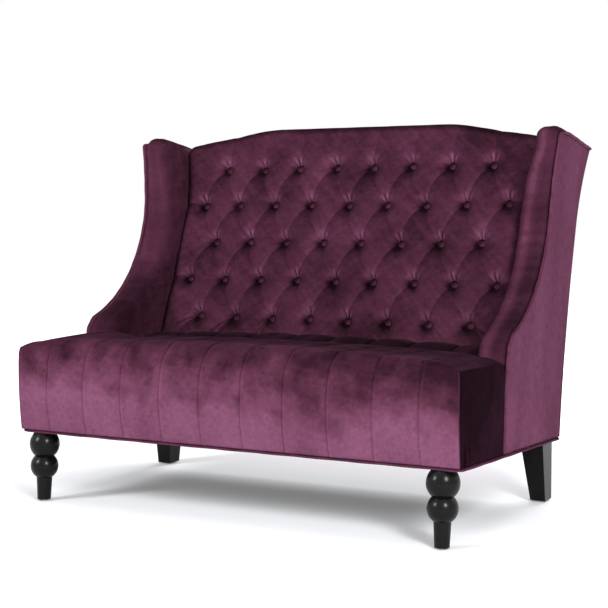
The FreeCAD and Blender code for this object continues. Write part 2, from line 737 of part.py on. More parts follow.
def back_webbing():
    holes = back_tie_bars("TieHoles", "tie_radius + clearance", f"{PIT_FLOOR} - 6", "4")
    reach = "(frame_half - core_thickness - 4)"
    crosses = []
    for index in range(5):
        s = f"(tuft_first + ({index} + 0.5) * (top_rail_s - tuft_first) / 5)"
        crosses.append(block(f"Cross_{index}", (f"-{reach}", reach), ("-webbing_thickness", "0"),
                             (f"{s} - webbing_width / 2", f"{s} + webbing_width / 2"),
                             back_frame))
    node(cut("CrossWebbing", group("Crosses", crosses), holes), "back_webbing_across")
    uprights = []
    for index, x in enumerate(spread(8, "tuft_pitch")):
        front = "-(2 * webbing_thickness)"
        uprights.append(block(f"Strap_{index}",
                              (f"{x} - webbing_width / 2", f"{x} + webbing_width / 2"),
                              (front, "-webbing_thickness"),
                              ("lower_rail_s + 8", "top_rail_s + 26"), back_frame))
    node(cut("UprightWebbing", group("Straps", uprights), holes), "back_webbing_upright")
    lining = block("Lining", (f"-{reach}", reach),
                   (f"-({STRAP_BACK} + lining_thickness)", f"-{STRAP_BACK}"),
                   ("lower_rail_s", "post_top - top_padding - 4"), back_frame)
    node(cut("BackLining", lining, holes), "back_lining")
    return holes


def top_front_edges(front):
    """Test for the upper edges of a slab's front face."""
    def is_one(edge):
        low = number("back_end_s") - 30
        points = [vertex.Point for vertex in edge.Vertexes]
        return all(abs(point.y - number(front)) < 0.01 and point.z > low for point in points)
    return is_one


def back_cushion(holes):
    room = between_wings("CushionRoom", "clearance")
    rear = before_outside_back("CoverRearRoom", BACKING)
    rounding = ("cushion_round", top_front_edges("-cushion_depth"))
    form = camel_top("CoverForm", "cushion_bottom", "0", "-cushion_depth", FAR, rounding)
    hollow_front = "(cushion_skin - cushion_depth)"
    hollow = camel_top("CoverHollow", "cushion_bottom - 20", "cushion_skin", hollow_front,
                       f"2 * {FAR}", ("cushion_round - cushion_skin", top_front_edges(hollow_front)))
    cover = common("CoverBlank", form, room, rear)
    hollow_pitted = cut("HollowPitted", hollow, back_pits("SkinPits", "cushion_skin"))
    cover = cut("BackCover", cover, back_pits("CoverPits", "0"), hollow_pitted)
    node(cut("BackCoverHoled", cover, holes), "back_cover")

    foam_drop = "(cushion_skin + clearance)"
    foam_front = f"({foam_drop} - cushion_depth)"
    foam_form = camel_top("FoamForm", "cushion_bottom", foam_drop, foam_front,
                          f"-{LINING_FRONT} - {foam_front}",
                          (f"cushion_round - {foam_drop}", top_front_edges(foam_front)))
    foam = common("FoamBlank", foam_form, room)
    foam = cut("BackFoam", foam, back_pits("FoamPits", foam_drop), holes)
    node(foam, "back_foam")

    pad_front = f"(clearance - {LINING_FRONT})"
    padding = camel_top("PaddingForm", "top_rail_s", foam_drop, pad_front, FAR)
    below = camel_top("PaddingFloor", "0", "top_padding - clearance", f"-{FAR}", f"2 * {FAR}")
    rear_room = before_outside_back("PaddingRearRoom", BACKING)
    padding = common("PaddingBlank", padding, room, rear_room)
    node(cut("TopPadding", padding, below), "back_top_padding")

    buttons = []
    for index, (x, s) in enumerate(tuft_places()):
        buttons.append(dome(f"Button_{index}", "button_radius", "button_height",
                            back_frame(x, PIT_FLOOR, s, "(-90)")))
    node(group("Buttons", buttons), "back_buttons")
    ties = back_tie_bars("Ties", "tie_radius", PIT_FLOOR, "3")
    node(ties, "back_button_ties")


def outside_back():
    outer = before_outside_back("OutsideBackOuter", "0")
    inner = before_outside_back("OutsideBackInner", "panel_thickness")
    sides = slab_sides("OutsideBackSides")
    right = [
        ("wing_outer_top + 20", "0"),
        ("wing_outer_top + 20", "back_crest - 24"),
        ("wing_inner_top", "back_crest - 24"),
        ("wing_inner_top", "back_end_s + (back_end_x - wing_inner_top) * 0.175"),
        ("back_ogee_x", "back_ogee_s"),
        ("back_flat_half", "back_crest", "back_ogee_radius", 1),
    ]
    outline = right + backwards(mirrored(right))
    top = prism("OutsideBackTop", "XZ_Plane", outline, f"-{FAR}", f"3 * {FAR}", back_frame())
    hem = above("OutsideBackHem", HEM)
    panel = common("OutsideBackBlank", outer, sides, top, hem)
    node(cut("OutsideBack", panel, inner), "outside_back_panel")


def slab_sides(name):
    outline = outer_face() + backwards(mirrored(outer_face()))
    return prism(name, "XZ_Plane", outline, f"-{FAR}", f"3 * {FAR}", body_frame())


def wings():
    for name, side in SIDES:
        rear = before_outside_back("WingRear_" + name, BACKING)
        hem = above("WingHem_" + name, HEM)
        pad_slab = slab_between("PadSlab_" + name, inner_face(), flat_face("frame_half"), side)
        pad = common("PadBlank_" + name, wing_pad_profile("PadProfile_" + name), pad_slab, rear,
                     above("PadFloor_" + name, "rail_height + clearance"))
        core_room = "(core_inset - clearance)"
        pocket_profile = wing_panel_profile("PocketProfile_" + name, core_room, "-60")
        across = pair("frame_half - core_thickness - clearance", FAR, side)
        pocket = common("Pocket_" + name, pocket_profile,
                        block("PocketSlab_" + name, across, ("0", f"2 * {FAR}"), ("-90", FAR)))
        across = pair("0", "frame_half - core_thickness + clearance", side)
        post_room = block("PostRoom_" + name, across, (f"-{LINING_FRONT}", FAR),
                          (f"-{FAR}", "post_top + clearance"), back_frame)
        across = pair("0", f"{INSIDE} + clearance", side)
        deck_room = block("DeckRoom_" + name, across, ("0", FAR),
                          ("0", "rail_height + deck_lift + deck_thickness + clearance"))
        node(cut("WingPad_" + name, pad, pocket, post_room, deck_room), "wing_pad_" + name)

        batting_slab = slab_between("BattingSlab_" + name, flat_face("frame_half + clearance"),
                                    outer_face(f"-{BACKING}"), side)
        profile = wing_panel_profile("BattingProfile_" + name, "0", SECTION_LOW)
        node(common("WingBatting_" + name, profile, batting_slab, rear, hem),
             "wing_batting_" + name)

        panel_slab = slab_between("PanelSlab_" + name, outer_face("-panel_thickness"),
                                  outer_face(), side)
        rear_edge = before_outside_back("PanelRear_" + name, BACKING)
        profile = wing_panel_profile("PanelProfile_" + name, "welt_width + clearance",
                                     SECTION_LOW)
        node(common("WingPanel_" + name, profile, panel_slab, rear_edge, hem),
             "wing_outer_panel_" + name)

        welt_slab = slab_between("WeltSlab_" + name, outer_face("-panel_thickness"),
                                 outer_face("welt_proud"), side)
        outside = wing_panel_profile("WeltOutside_" + name, "0", SECTION_LOW)
        inside = wing_panel_profile("WeltInside_" + name, "welt_width", "-60")
        welt = common("WeltBlank_" + name, outside, welt_slab, rear_edge, hem)
        node(cut("WingWelt_" + name, welt, inside), "wing_welt_" + name)


def seat_form(name, inset):
    """The seat's outer form, drawn in by the inset; open below."""
    profile = prism(name + "_profile", "YZ_Plane", [
        (f"seat_foot_u + {inset}", SECTION_LOW),
        (f"seat_foot_u + {inset}", HEM),
        (f"seat_bulge_u + {inset}", "seat_roll_foot", "seat_face_radius", -1),
        ("seat_roll_end", f"seat_crown - {inset}", f"seat_roll_radius - {inset}", -1),
        (FAR, f"seat_crown - {inset}"),
        (FAR, SECTION_LOW),
    ], f"-{FAR}", f"2 * {FAR}", body_frame())
    corner = f"(seat_half - {inset})"
    shoulder_x = "(seat_half - seat_side_radius)"
    shoulder_w = f"(seat_side_foot + seat_side_radius - {inset})"
    roll = f"(seat_side_radius - {inset})"
    section = prism(name + "_section", "XZ_Plane", [
        (f"-{corner}", SECTION_LOW),
        (f"-{corner}", "seat_side_foot"),
        (f"-{shoulder_x}", shoulder_w, roll, -1),
        (shoulder_x, shoulder_w, "seat_crown_radius", -1),
        (corner, "seat_side_foot", roll, -1),
        (corner, SECTION_LOW),
    ], f"-{FAR}", f"3 * {FAR}", body_frame())
    tail = f"(wing_inner - clearance - {inset})"
    shoulder_u = f"(seat_block_rear - {inset})"
    plan = prism(name + "_plan", "XY_Plane", [
        (f"-{corner}", "-100"),
        (corner, "-100"),
        (corner, shoulder_u),
        (tail, shoulder_u),
        (tail, "back_foot + 200"),
        (f"-{tail}", "back_foot + 200"),
        (f"-{tail}", shoulder_u),
        (f"-{corner}", shoulder_u),
    ], SECTION_LOW, FAR, body_frame())
    behind = block(name + "_behind", (f"-{FAR}", FAR), (f"-(cushion_depth + clearance)", FAR),
                   (f"-{FAR}", FAR), back_frame)
    return cut(name + "_form", common(name, profile, section, plan), behind)


SEAT_SKIN = "(seat_half - frame_half - clearance)"
PIT_BASE = "(seat_crown - seat_pit_depth)"


def seat_pits(name, grow):
    cones = []
    for index, x in enumerate(spread(number("seat_button_count"), "seat_button_pitch")):
        frame = body_frame(x, "seat_button_u", f"{PIT_BASE} - {grow}")
        cones.append(cone(f"{name}_{index}", f"button_radius + 0.5 + {grow}",
                          f"pit_mouth + {grow}", f"seat_pit_depth + {grow}", frame))
    return group(name, cones)


def seat_ties(name, radius, low, high):
    bars = []
    for index, x in enumerate(spread(number("seat_button_count"), "seat_button_pitch")):
        frame = body_frame(x, "seat_button_u", low)
        bars.append(cylinder(f"{name}_{index}", radius, f"({high}) - ({low})", frame))
    return group(name, bars)


def seat():
    foam_gap = f"({SEAT_SKIN} + clearance)"
    deck_top = "(rail_height + deck_lift + deck_thickness + 0.2)"
    tie_low = f"({deck_top} + 1)"
    holes = seat_ties("SeatTieHoles", "tie_radius + clearance", f"{tie_low} - 1",
                      f"{PIT_BASE} + 4")
    outer = seat_form("SeatOuter", "0")
    inner = seat_form("SeatInner", SEAT_SKIN)
    inner = cut("SeatInnerPitted", inner, seat_pits("SeatSkinPits", SEAT_SKIN))
    hem = above("SeatHem", HEM)
    frame_room = block("FrameRoom", ("-(frame_half + clearance)", "frame_half + clearance"),
                       ("frame_front", FAR), (SECTION_LOW, deck_top))
    cover = cut("SeatCover", common("SeatCoverBlank", outer, hem),
                seat_pits("SeatCoverPits", "0"), inner, holes, frame_room)
    node(cover, "seat_cover")

    foam = common("SeatFoamBlank", seat_form("SeatFoam", foam_gap),
                  above("SeatFoamFloor", deck_top))
    node(cut("SeatFoamPitted", foam, seat_pits("SeatFoamPits", foam_gap), holes), "seat_foam")

    padding = common("FrontPaddingBlank", seat_form("FrontPad", foam_gap),
                     block("FrontPadRoom", ("-frame_half", "frame_half"),
                           (f"-{FAR}", "frame_front - clearance"), (HEM, deck_top)))
    node(padding, "front_padding")

    buttons = []
    for index, x in enumerate(spread(number("seat_button_count"), "seat_button_pitch")):
        buttons.append(dome(f"SeatButton_{index}", "button_radius", "button_height",
                            body_frame(x, "seat_button_u", PIT_BASE)))
    node(group("SeatButtons", buttons), "seat_buttons")
    node(seat_ties("SeatTies", "tie_radius", tie_low, PIT_BASE), "seat_button_ties")


def lower_edge():
    reach = "(seat_half + welt_proud)"
    outer = block("EdgeOuter", (f"-{reach}", reach), ("0", "rear_foot"), ("0", "welt_width"))
    inner = block("EdgeInner", ("-frame_half", "frame_half"), ("frame_front", "frame_rear"),
                  ("-1", "welt_width + 1"))
    node(cut("EdgeWelt", outer, inner), "bottom_welt")
    margin = "(frame_half - 8)"
    cloth = block("DustCloth", (f"-{margin}", margin), ("frame_front + 8", "frame_rear - 8"),
                  ("-dust_cover_thickness", "0"))
    corners = []
    for name, side in SIDES:
        across = pair("front_leg_x - front_top_radius - 8", FAR, side)
        corners.append(block("FrontNotch_" + name, across,
                             ("0", "front_leg_u + front_top_radius + 8"), ("-20", "20")))
        across = pair("rear_leg_x - rear_top_width - 6", FAR, side)
        corners.append(block("RearNotch_" + name, across,
                             ("rear_leg_rear - rear_top_depth - 8", FAR), ("-20", "20")))
    node(cut("DustCover", cloth, *corners), "dust_cover")


def legs():
    drop = "(base_height - front_leg_u * sin(seat_pitch))"
    foot_y = f"(front_plane_y + front_leg_u * cos(seat_pitch) - {drop} * tan(seat_pitch))"
    outline = [
        ("0", f"-{drop} - 12"),
        ("front_foot_radius", f"-{drop} - 12"),
        ("front_waist_radius", f"front_waist_up - {drop}"),
        ("neck_radius", f"neck_up - {drop}", "lower_ball_curve", 1),
        ("front_top_radius", "0", "upper_ball_curve", 1),
        ("0", "0"),
    ]
    bolts = []
    glides = []
    rear_y = "(front_plane_y + rear_leg_rear)"
    rear_foot_x = "(rear_leg_x - rear_foot_width / 2)"
    for name, side in SIDES:
        floor = block("Floor_" + name, (f"-{FAR}", FAR), (f"-{FAR}", FAR), (f"-{FAR}", "glide_height"),
                      world_frame)
        front = turned("FrontTurning_" + name, outline,
                       body_frame(f"{side} * front_leg_x", "front_leg_u", "0"))
        hole = bolt_hole("FrontLegHole_" + name, side, False)
        node(cut("FrontLeg_" + name, front, floor, hole), "front_leg_" + name)

        blank = doc.addObject("Part::Wedge", "RearBlank_" + name)
        top_x = pair("rear_leg_x - rear_top_width", "rear_leg_x", side)
        foot_x = pair("rear_leg_x - rear_foot_width", "rear_leg_x", side)
        limits = {
            "Xmin": foot_x[0], "Xmax": foot_x[1], "X2min": top_x[0], "X2max": top_x[1],
            "Ymin": "glide_height", "Ymax": "base_height",
            "Zmin": f"-{rear_y}", "Zmax": f"rear_foot_depth - {rear_y}",
            "Z2min": f"-{rear_y}", "Z2max": f"rear_top_depth - {rear_y}",
        }
        for limit, value in limits.items():
            blank.setExpression(limit, bound(value))
        place(blank, world_frame(turn="90"))
        frame_room = above("FrameRoom_" + name, "0")
        hole = bolt_hole("RearLegHole_" + name, side, True)
        node(cut("RearLeg_" + name, blank, frame_room, hole), "rear_leg_" + name)

        for end, rear in (("front", False), ("rear", True)):
            bolts.append(cylinder(f"Bolt_{end}_{name}", "bolt_radius",
                                  "bolt_in_leg + bolt_in_frame",
                                  bolt_frame(side, rear, "-bolt_in_leg")))
        glides.append(cylinder("FrontGlide_" + name, "glide_radius", "glide_height",
                               world_frame(f"{side} * front_leg_x", foot_y, "0")))
        glides.append(cylinder("RearGlide_" + name, "glide_radius", "glide_height",
                               world_frame(f"{side} * {rear_foot_x}",
                                           f"{rear_y} - rear_foot_depth / 2", "0")))
    node(group("LegBolts", bolts), "leg_bolts")
    node(group("Glides", glides), "floor_glides")


seat_frame()
wing_and_back_frame()
suspension()
tie_holes = back_webbing()
back_cushion(tie_holes)
outside_back()
wings()
seat()
lower_edge()
legs()
doc.recompute()

for item in doc.Objects:
    if "Invalid" in item.State or "Error" in item.State:
        raise RuntimeError("could not build " + item.Name)

os.makedirs("parts", exist_ok=True)
for piece in nodes:
    shape = piece.Shape
    if shape.isNull() or not shape.isValid() or not shape.Solids:
        raise RuntimeError("no sound solid in " + piece.Label)
    shape.exportStep("parts/" + piece.Label + ".step")
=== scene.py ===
import json
import math
from collections import namedtuple

import bmesh
import bpy
import numpy as np
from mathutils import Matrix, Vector


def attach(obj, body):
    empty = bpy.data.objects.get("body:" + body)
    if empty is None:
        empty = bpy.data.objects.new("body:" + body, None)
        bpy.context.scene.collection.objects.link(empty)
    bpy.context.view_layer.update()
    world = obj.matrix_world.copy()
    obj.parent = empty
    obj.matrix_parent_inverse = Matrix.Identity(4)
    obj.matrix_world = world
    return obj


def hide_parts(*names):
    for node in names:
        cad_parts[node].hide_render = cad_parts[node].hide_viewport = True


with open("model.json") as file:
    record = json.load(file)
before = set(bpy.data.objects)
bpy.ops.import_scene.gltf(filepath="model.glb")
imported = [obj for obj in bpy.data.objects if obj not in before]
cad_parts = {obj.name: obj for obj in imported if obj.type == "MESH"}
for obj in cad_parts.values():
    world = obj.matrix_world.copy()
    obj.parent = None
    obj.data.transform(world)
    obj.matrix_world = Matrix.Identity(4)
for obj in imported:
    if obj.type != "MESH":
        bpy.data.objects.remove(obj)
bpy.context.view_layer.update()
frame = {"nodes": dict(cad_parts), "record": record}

rng = np.random.default_rng(7)

# Two frames of places, both in mm. The body slopes back by PITCH: x across, u back from the
# front piping, w up from the lower edge. The back leans further by RAKE: n back from the front
# of its frame, s up the slope. body() and leaning() turn them into metres in the scene.
PITCH = math.radians(2.0)
RAKE = math.radians(19.35)
COS_RAKE, SIN_RAKE = math.cos(RAKE), math.sin(RAKE)
FRONT_Y = -427.6
BASE_Z = 181.0
BACK_FOOT = 479.0

# Outer and inner faces of the wings from the middle. They stand almost upright to FLARE, then
# curve outwards. The outside back is a hollow arc about its own middle.
HALF = 620.0
INNER = 536.0
FLARE = 560.0
INNER_SWEEP, INNER_SWEEP_HEIGHT = 660.0, 215.0
OUTER_SWEEP, OUTER_SWEEP_HEIGHT = 1560.0, 300.0
OUTER_LEAN = 6.0
REAR_RADIUS = 3111.0
REAR_MIDDLE_U, REAR_MIDDLE_W = 3800.6, -167.8

HEM = 7.6
CLOTH_THICKNESS = 0.003
PIPING_RADIUS = 0.0040
SIDE_WORDS = {-1: "left", 1: "right"}


def body(x, u, w):
    """Place in metres of x, u and w in mm."""
    x, u, w = np.broadcast_arrays(x, u, w)
    y = FRONT_Y + u * math.cos(PITCH) + w * math.sin(PITCH)
    z = BASE_Z - u * math.sin(PITCH) + w * math.cos(PITCH)
    return np.stack([x, y, z], -1) / 1000


def body_back(x, y, z):
    """x, u and w in mm of a place in metres."""
    y, z = y * 1000 - FRONT_Y, z * 1000 - BASE_Z
    u = y * math.cos(PITCH) - z * math.sin(PITCH)
    w = y * math.sin(PITCH) + z * math.cos(PITCH)
    return x * 1000, u, w


def lean_uw(n, s):
    return BACK_FOOT + n * COS_RAKE + s * SIN_RAKE, -n * SIN_RAKE + s * COS_RAKE


def leaning(x, n, s):
    return body(x, *lean_uw(n, s))


def inner_x(w):
    """Inner face of a wing from the middle, at a height."""
    rise = np.clip(w - FLARE, 0, INNER_SWEEP_HEIGHT)
    return INNER + rise ** 2 / (2 * INNER_SWEEP)


def outer_x(w):
    """Outer face of a wing from the middle, at a height."""
    rise = np.clip(w - FLARE, 0, OUTER_SWEEP_HEIGHT)
    return HALF + OUTER_LEAN * np.clip(w / FLARE, 0, 1) + rise ** 2 / (2 * OUTER_SWEEP)


def rear_u(w):
    """Place of the outside back at a height, on its hollow arc."""
    return REAR_MIDDLE_U - np.sqrt(REAR_RADIUS ** 2 - (w - REAR_MIDDLE_W) ** 2)


def smoothstep(low, high, value):
    """0 up to low, 1 from high on, and a smooth rise between."""
    t = np.clip((value - low) / (high - low), 0, 1)
    return t * t * (3 - 2 * t)


def shares(count):
    """Even steps from 0 to 1."""
    return np.linspace(0, 1, count)


def bell(distance, reach):
    """1 at no distance, fading over a reach."""
    return np.exp(-(distance / reach) ** 2)


def waves(p, q, scale, seed):
    """Smooth seeded noise over two coordinates in mm, about -1 to 1."""
    pick = np.random.default_rng(seed)
    total = np.zeros(np.broadcast(p, q).shape)
    for layer in range(3):
        for _ in range(6):
            angle = pick.uniform(0, math.pi)
            length = scale * pick.uniform(0.7, 1.5) / 1.8 ** layer
            phase = pick.uniform(0, 2 * math.pi)
            along = p * math.cos(angle) + q * math.sin(angle)
            total = total + 0.55 ** layer * np.sin(along * 2 * math.pi / length + phase)
    return total / 5.0


def unit(vectors):
    return vectors / np.maximum(np.linalg.norm(vectors, axis=-1, keepdims=True), 1e-12)


# Lines of points


def run_lengths(path):
    """Lengths of a polyline up to its points."""
    return np.concatenate([[0], np.cumsum(np.linalg.norm(np.diff(path, axis=0), axis=1))])


def even(path, count):
    """A number of points spread evenly along a polyline."""
    lengths = run_lengths(path)
    at = np.linspace(0, lengths[-1], count)
    return np.stack([np.interp(at, lengths, column) for column in np.transpose(path)], 1)


def resampled(path, step):
    """Points along a polyline at an even step."""
    return even(path, max(int(run_lengths(path)[-1] / step), 2) + 1)


def averaged(values, kernel, mirrored=False):
    """Values blended by a kernel. Their start runs on straight, or as in a mirror."""
    kernel = kernel / kernel.sum()
    pad = len(kernel) // 2
    head = values[pad:0:-1]
    if not mirrored:
        head = 2 * values[0] - head
    tail = 2 * values[-1] - values[-2:-pad - 2:-1]
    return np.convolve(np.concatenate([head, values, tail]), kernel, "valid")


def softened(path, reach, step):
    """Polyline with its corners rounded by averaging over a reach."""
    kernel = np.hanning(2 * max(int(reach / step), 1) + 3)[1:-1]
    return np.stack([averaged(column, kernel) for column in resampled(path, step).T], 1)


def arc_points(middle_u, middle_w, radius, start, end, count):
    angles = np.radians(np.linspace(start, end, count))
    return [(middle_u + radius * math.cos(t), middle_w + radius * math.sin(t)) for t in angles]


def bezier(start, bend, end, count=7):
    t = shares(count)[:, None]
    return (1 - t) ** 2 * np.array(start) + 2 * t * (1 - t) * np.array(bend) + t * t * np.array(end)


# Meshes


def normals(points):
    """Unit normals of a grid of points."""
    return unit(np.cross(np.gradient(points, axis=0), np.gradient(points, axis=1)))


def grid_faces(rows, cols, start=0, flip=False):
    index = start + np.arange(rows * cols).reshape(rows, cols)
    a, b, c, d = index[:-1, :-1], index[:-1, 1:], index[1:, 1:], index[1:, :-1]
    order = (a, d, c, b) if flip else (a, b, c, d)
    return np.stack(order, -1).reshape(-1, 4)


def make_object(name, verts, faces):
    """Smooth shaded mesh in the scene."""
    mesh = bpy.data.meshes.new(name)
    mesh.from_pydata(verts.tolist(), [], faces.tolist())
    mesh.polygons.foreach_set("use_smooth", [True] * len(mesh.polygons))
    mesh.update()
    piece = bpy.data.objects.new(name, mesh)
    bpy.context.collection.objects.link(piece)
    return piece


def edited(piece, change):
    """Change an object's mesh through bmesh."""
    work = bmesh.new()
    work.from_mesh(piece.data)
    change(work)
    work.to_mesh(piece.data)
    work.free()
    return piece


def welded(piece, reach):
    return edited(piece, lambda work: bmesh.ops.remove_doubles(work, verts=work.verts, dist=reach))


def patches(name, grids):
    """One object from several grids of points, each with whether it faces the other way."""
    verts, faces, start = [], [], 0
    for points, flip in grids:
        rows, cols = points.shape[:2]
        verts.append(points.reshape(-1, 3))
        faces.append(grid_faces(rows, cols, start, flip))
        start += rows * cols
    return make_object(name, np.concatenate(verts), np.concatenate(faces))


def closed(piece):
    """Close the open rear of a cushion, which other pieces hide."""
    def fill(work):
        border = [edge for edge in work.edges if edge.is_boundary]
        bmesh.ops.holes_fill(work, edges=border, sides=0)

    return edited(piece, fill)


def sheet_of(piece):
    """Give an open sheet of cloth its thickness, inwards."""
    def thicken(work):
        bmesh.ops.solidify(work, geom=work.faces[:], thickness=CLOTH_THICKNESS)

    return edited(piece, thicken)


def toned(piece, tone):
    """Keep a tone in the mesh that holds the pile's patches and painted light and shade: 0 is dark,
    1 is bright.
    """
    count = len(piece.data.vertices)
    place, normal = np.empty(count * 3), np.empty(count * 3)
    piece.data.vertices.foreach_get("co", place)
    piece.data.vertex_normals.foreach_get("vector", normal)
    x, u, w = body_back(*place.reshape(-1, 3).T)
    values = np.clip(tone(x, u, w, normal.reshape(-1, 3)), 0, 1).astype(np.float32)
    layer = piece.data.attributes.new("pile_and_painted_shade", "FLOAT", "POINT")
    layer.data.foreach_set("value", values)
    return piece


def level_and_facing_shade(level, from_x, from_z):
    """Tone of a small round piece: an even level, with a share of painted shade by the way it faces.
    """
    return lambda x, u, w, normal: level + from_x * normal[:, 0] + from_z * normal[:, 2]


def carried_sides(tangent):
    """Sideways directions along a path, carried from point to point without a twist."""
    side = np.cross(tangent, [0.13, 0.21, 0.97])
    steep = np.linalg.norm(side, axis=1, keepdims=True) < 0.2
    side = np.where(steep, np.cross(tangent, [0.0, 1.0, 0.1]), side)
    for index in range(1, len(side)):
        before = side[index - 1]
        side[index] = unit(before - tangent[index] * np.dot(before, tangent[index]))
    side[0] = unit(side[0])
    return side


def tube(name, path, radius, sides=10, loop=False):
    """Round piping along a path of points in metres."""
    if loop:
        tangent = unit(np.roll(path, -1, 0) - np.roll(path, 1, 0))
    else:
        tangent = unit(np.gradient(path, axis=0))
    side = carried_sides(tangent)
    up = np.cross(tangent, side)
    angles = np.linspace(0, 2 * math.pi, sides + 1)[None, :, None]
    ring = (side[:, None] * np.cos(angles) + up[:, None] * np.sin(angles)) * radius
    points = path[:, None] + ring
    if loop:
        points = np.concatenate([points, points[:1]])
    return welded(patches(name, [(points, False)]), 0.00005)


# Buttons


Button = namedtuple("Button", "row x s pulled_x pulled_s phase")
SEAT_PANELS = 9
BACK_ROWS = 5
TUFT_X = 2 * INNER / SEAT_PANELS
TUFT_S = 114.1
TUFT_LOW = 306.8
BUTTON_N = -29.5


def lay_out_buttons():
    """The back's diamond of buttons, each a little off its place, with a fold phase."""
    places = []
    for row in range(BACK_ROWS):
        count = 8 + row % 2
        for index in range(count):
            places.append((row, (index - (count - 1) / 2) * TUFT_X, TUFT_LOW + row * TUFT_S))
    jitter = rng.normal(0, 1.6, (len(places), 2))
    phases = [rng.uniform(0, 2 * math.pi) for _ in places]
    return [Button(row, x, s, x + jx, s + js, phase)
            for (row, x, s), (jx, js), phase in zip(places, jitter, phases)]


BUTTONS = lay_out_buttons()

# Half section of a covered button, as (radius, height) in mm
BUTTON_SECTION = [(0.01, 6.6), (3, 6.4), (6.4, 5.5), (9, 3.8), (10.6, 1.4), (11, -0.8),
                  (10.4, -2.8), (8, -4.2), (0.01, -4.6)]
BUTTON_SIDES = 28


def turned_button():
    """A covered button's rings of points round z, in metres, slightly out of round."""
    angles = np.linspace(0, 2 * math.pi, BUTTON_SIDES + 1)
    radius, height = np.array(BUTTON_SECTION, float).T
    rings = np.stack([radius[:, None] * np.cos(angles), radius[:, None] * np.sin(angles),
                      height[:, None] + 0 * angles], -1) / 1000
    rings[..., :2] *= (1 + 0.02 * np.sin(angles * 3 + rng.uniform(0, 6)))[None, :, None]
    return rings


def button_set(name, centres, outward):
    """Covered buttons round centres in metres, each tilted a little off one direction."""
    grids = []
    for centre in centres:
        tilt = Vector(outward) + Vector(rng.normal(0, 0.09, 3))
        turn = tilt.normalized().to_track_quat("Z", "Y").to_matrix()
        grids.append((turned_button() @ np.array(turn).T + np.array(centre), False))

    def outwards(work):
        bmesh.ops.recalc_face_normals(work, faces=work.faces)

    piece = edited(welded(patches(name, grids), 0.00003), outwards)
    # Painted shade: a button is lighter where it faces right and darker where it faces up.
    return toned(piece, level_and_facing_shade(0.35, 0.25, -0.45))


def back_buttons():
    lean = PITCH + RAKE
    centres = [leaning(button.pulled_x, BUTTON_N, button.pulled_s) for button in BUTTONS]
    return button_set("back_buttons_covered", centres, (0.0, -math.cos(lean), math.sin(lean)))


# Back

# Top of the back up the slope: level, rounded off, then a straight shoulder down to the wing
CAMEL_TOP, CAMEL_LEVEL_HALF, CAMEL_RADIUS = 887.0, 262.0, 392.0
SHOULDER_X, SHOULDER_TOP, SHOULDER_SLOPE = 350.0, 877.0, 51 / 291
CAMEL_STEP, CAMEL_BLEND = 4.0, 15

BACK_LOW = 196.0
BACK_FRONT = -60.0
BACK_REAR = 4.0
BACK_ROLL = 30.0
BACK_DECK = 104.0
BACK_GAP = 0.6
BACK_HALF = 565.0
BACK_STEP = 2.5
BACK_COLUMNS = int(1150 / BACK_STEP)
BACK_FRONT_ROWS = int(660 / BACK_STEP)

# The side edges of the cushion are rounded, and its tufting fades over the top
EDGE_WIDTH, EDGE_DEPTH = 20.0, 30.0
TUFTED_TO, PLAIN_FROM = 835.0, 905.0

# The cover stands PIT above the floor of the button pits where it is fullest. It rises by
# PIT_WALL round a button and by LOBE away from the folds.
PIT = 37.0
PIT_WALL, PIT_REACH = 29.5, 20.5
LOBE, LOBE_REACH, LOBE_WIDE = 7.0, 27.0, 60.0
FOLD_WIDTH = 3.6
TUCKS = 9.5
TUCK_HEIGHT = 4.2


def camel(x):
    """Top of the back up the slope, with its corners blended."""
    at = np.arange(0, 700, CAMEL_STEP)
    off = np.clip(at - CAMEL_LEVEL_HALF, 0, SHOULDER_X - CAMEL_LEVEL_HALF)
    level = CAMEL_TOP - (CAMEL_RADIUS - np.sqrt(CAMEL_RADIUS ** 2 - off ** 2))
    shoulder = SHOULDER_TOP - (at - SHOULDER_X) * SHOULDER_SLOPE
    height = np.where(at > SHOULDER_X, shoulder, level)
    height = averaged(height, np.hanning(CAMEL_BLEND), mirrored=True)
    return np.interp(np.abs(x), at, height)


def crease_paths():
    """Folds of the back: (path, depth at start, depth at end, width)."""
    places = {(button.row, round(button.x)) for button in BUTTONS}
    paths = []
    for row, x, s, *_ in BUTTONS:
        lower = TUFT_LOW + (row - 1) * TUFT_S
        for side, depth, bend_x, drop in ((1, 3.0, 9, 62), (-1, 1.6, -46, 47)):
            end = (x + side * TUFT_X / 2, lower)
            if (row - 1, round(end[0])) in places:
                bend = (x + bend_x + rng.normal(0, 3), s - drop)
                paths.append((bezier((x, s), bend, end), depth, depth, FOLD_WIDTH))
        if row == 0:
            paths += tucks_to_seat(x, s)
        if row == BACK_ROWS - 1:
            end = (x + rng.normal(0, 5) + 8, s + 118)
            paths.append((bezier((x, s), (x + 5, s + 40), end), 1.8, 0.6, FOLD_WIDTH))
        if abs(x) > 450:
            side = math.copysign(1, x)
            line = bezier((x + side * 16, s + 1), (x + side * 30, s + 2), (x + side * 60, s - 8))
            paths.append((line, 0.9, 0.7, 3.0))
    return paths


def tucks_to_seat(x, s):
    """The two long tucks below a button of the lowest row, which run outwards and down."""
    outward = math.copysign(min(64, 8 + 0.18 * abs(x)), x)
    tucks = []
    for turn in (0, 1):
        drop = 84 - 0.13 * abs(x) + 20 * turn
        end = (x + outward * (1 - 0.25 * turn), s - drop)
        bend = (x + outward * 0.5, s - drop * 0.4)
        tucks.append((bezier((x, s), bend, end), 3.8, 0.8, 3.0))
    return tucks


CREASES = crease_paths()


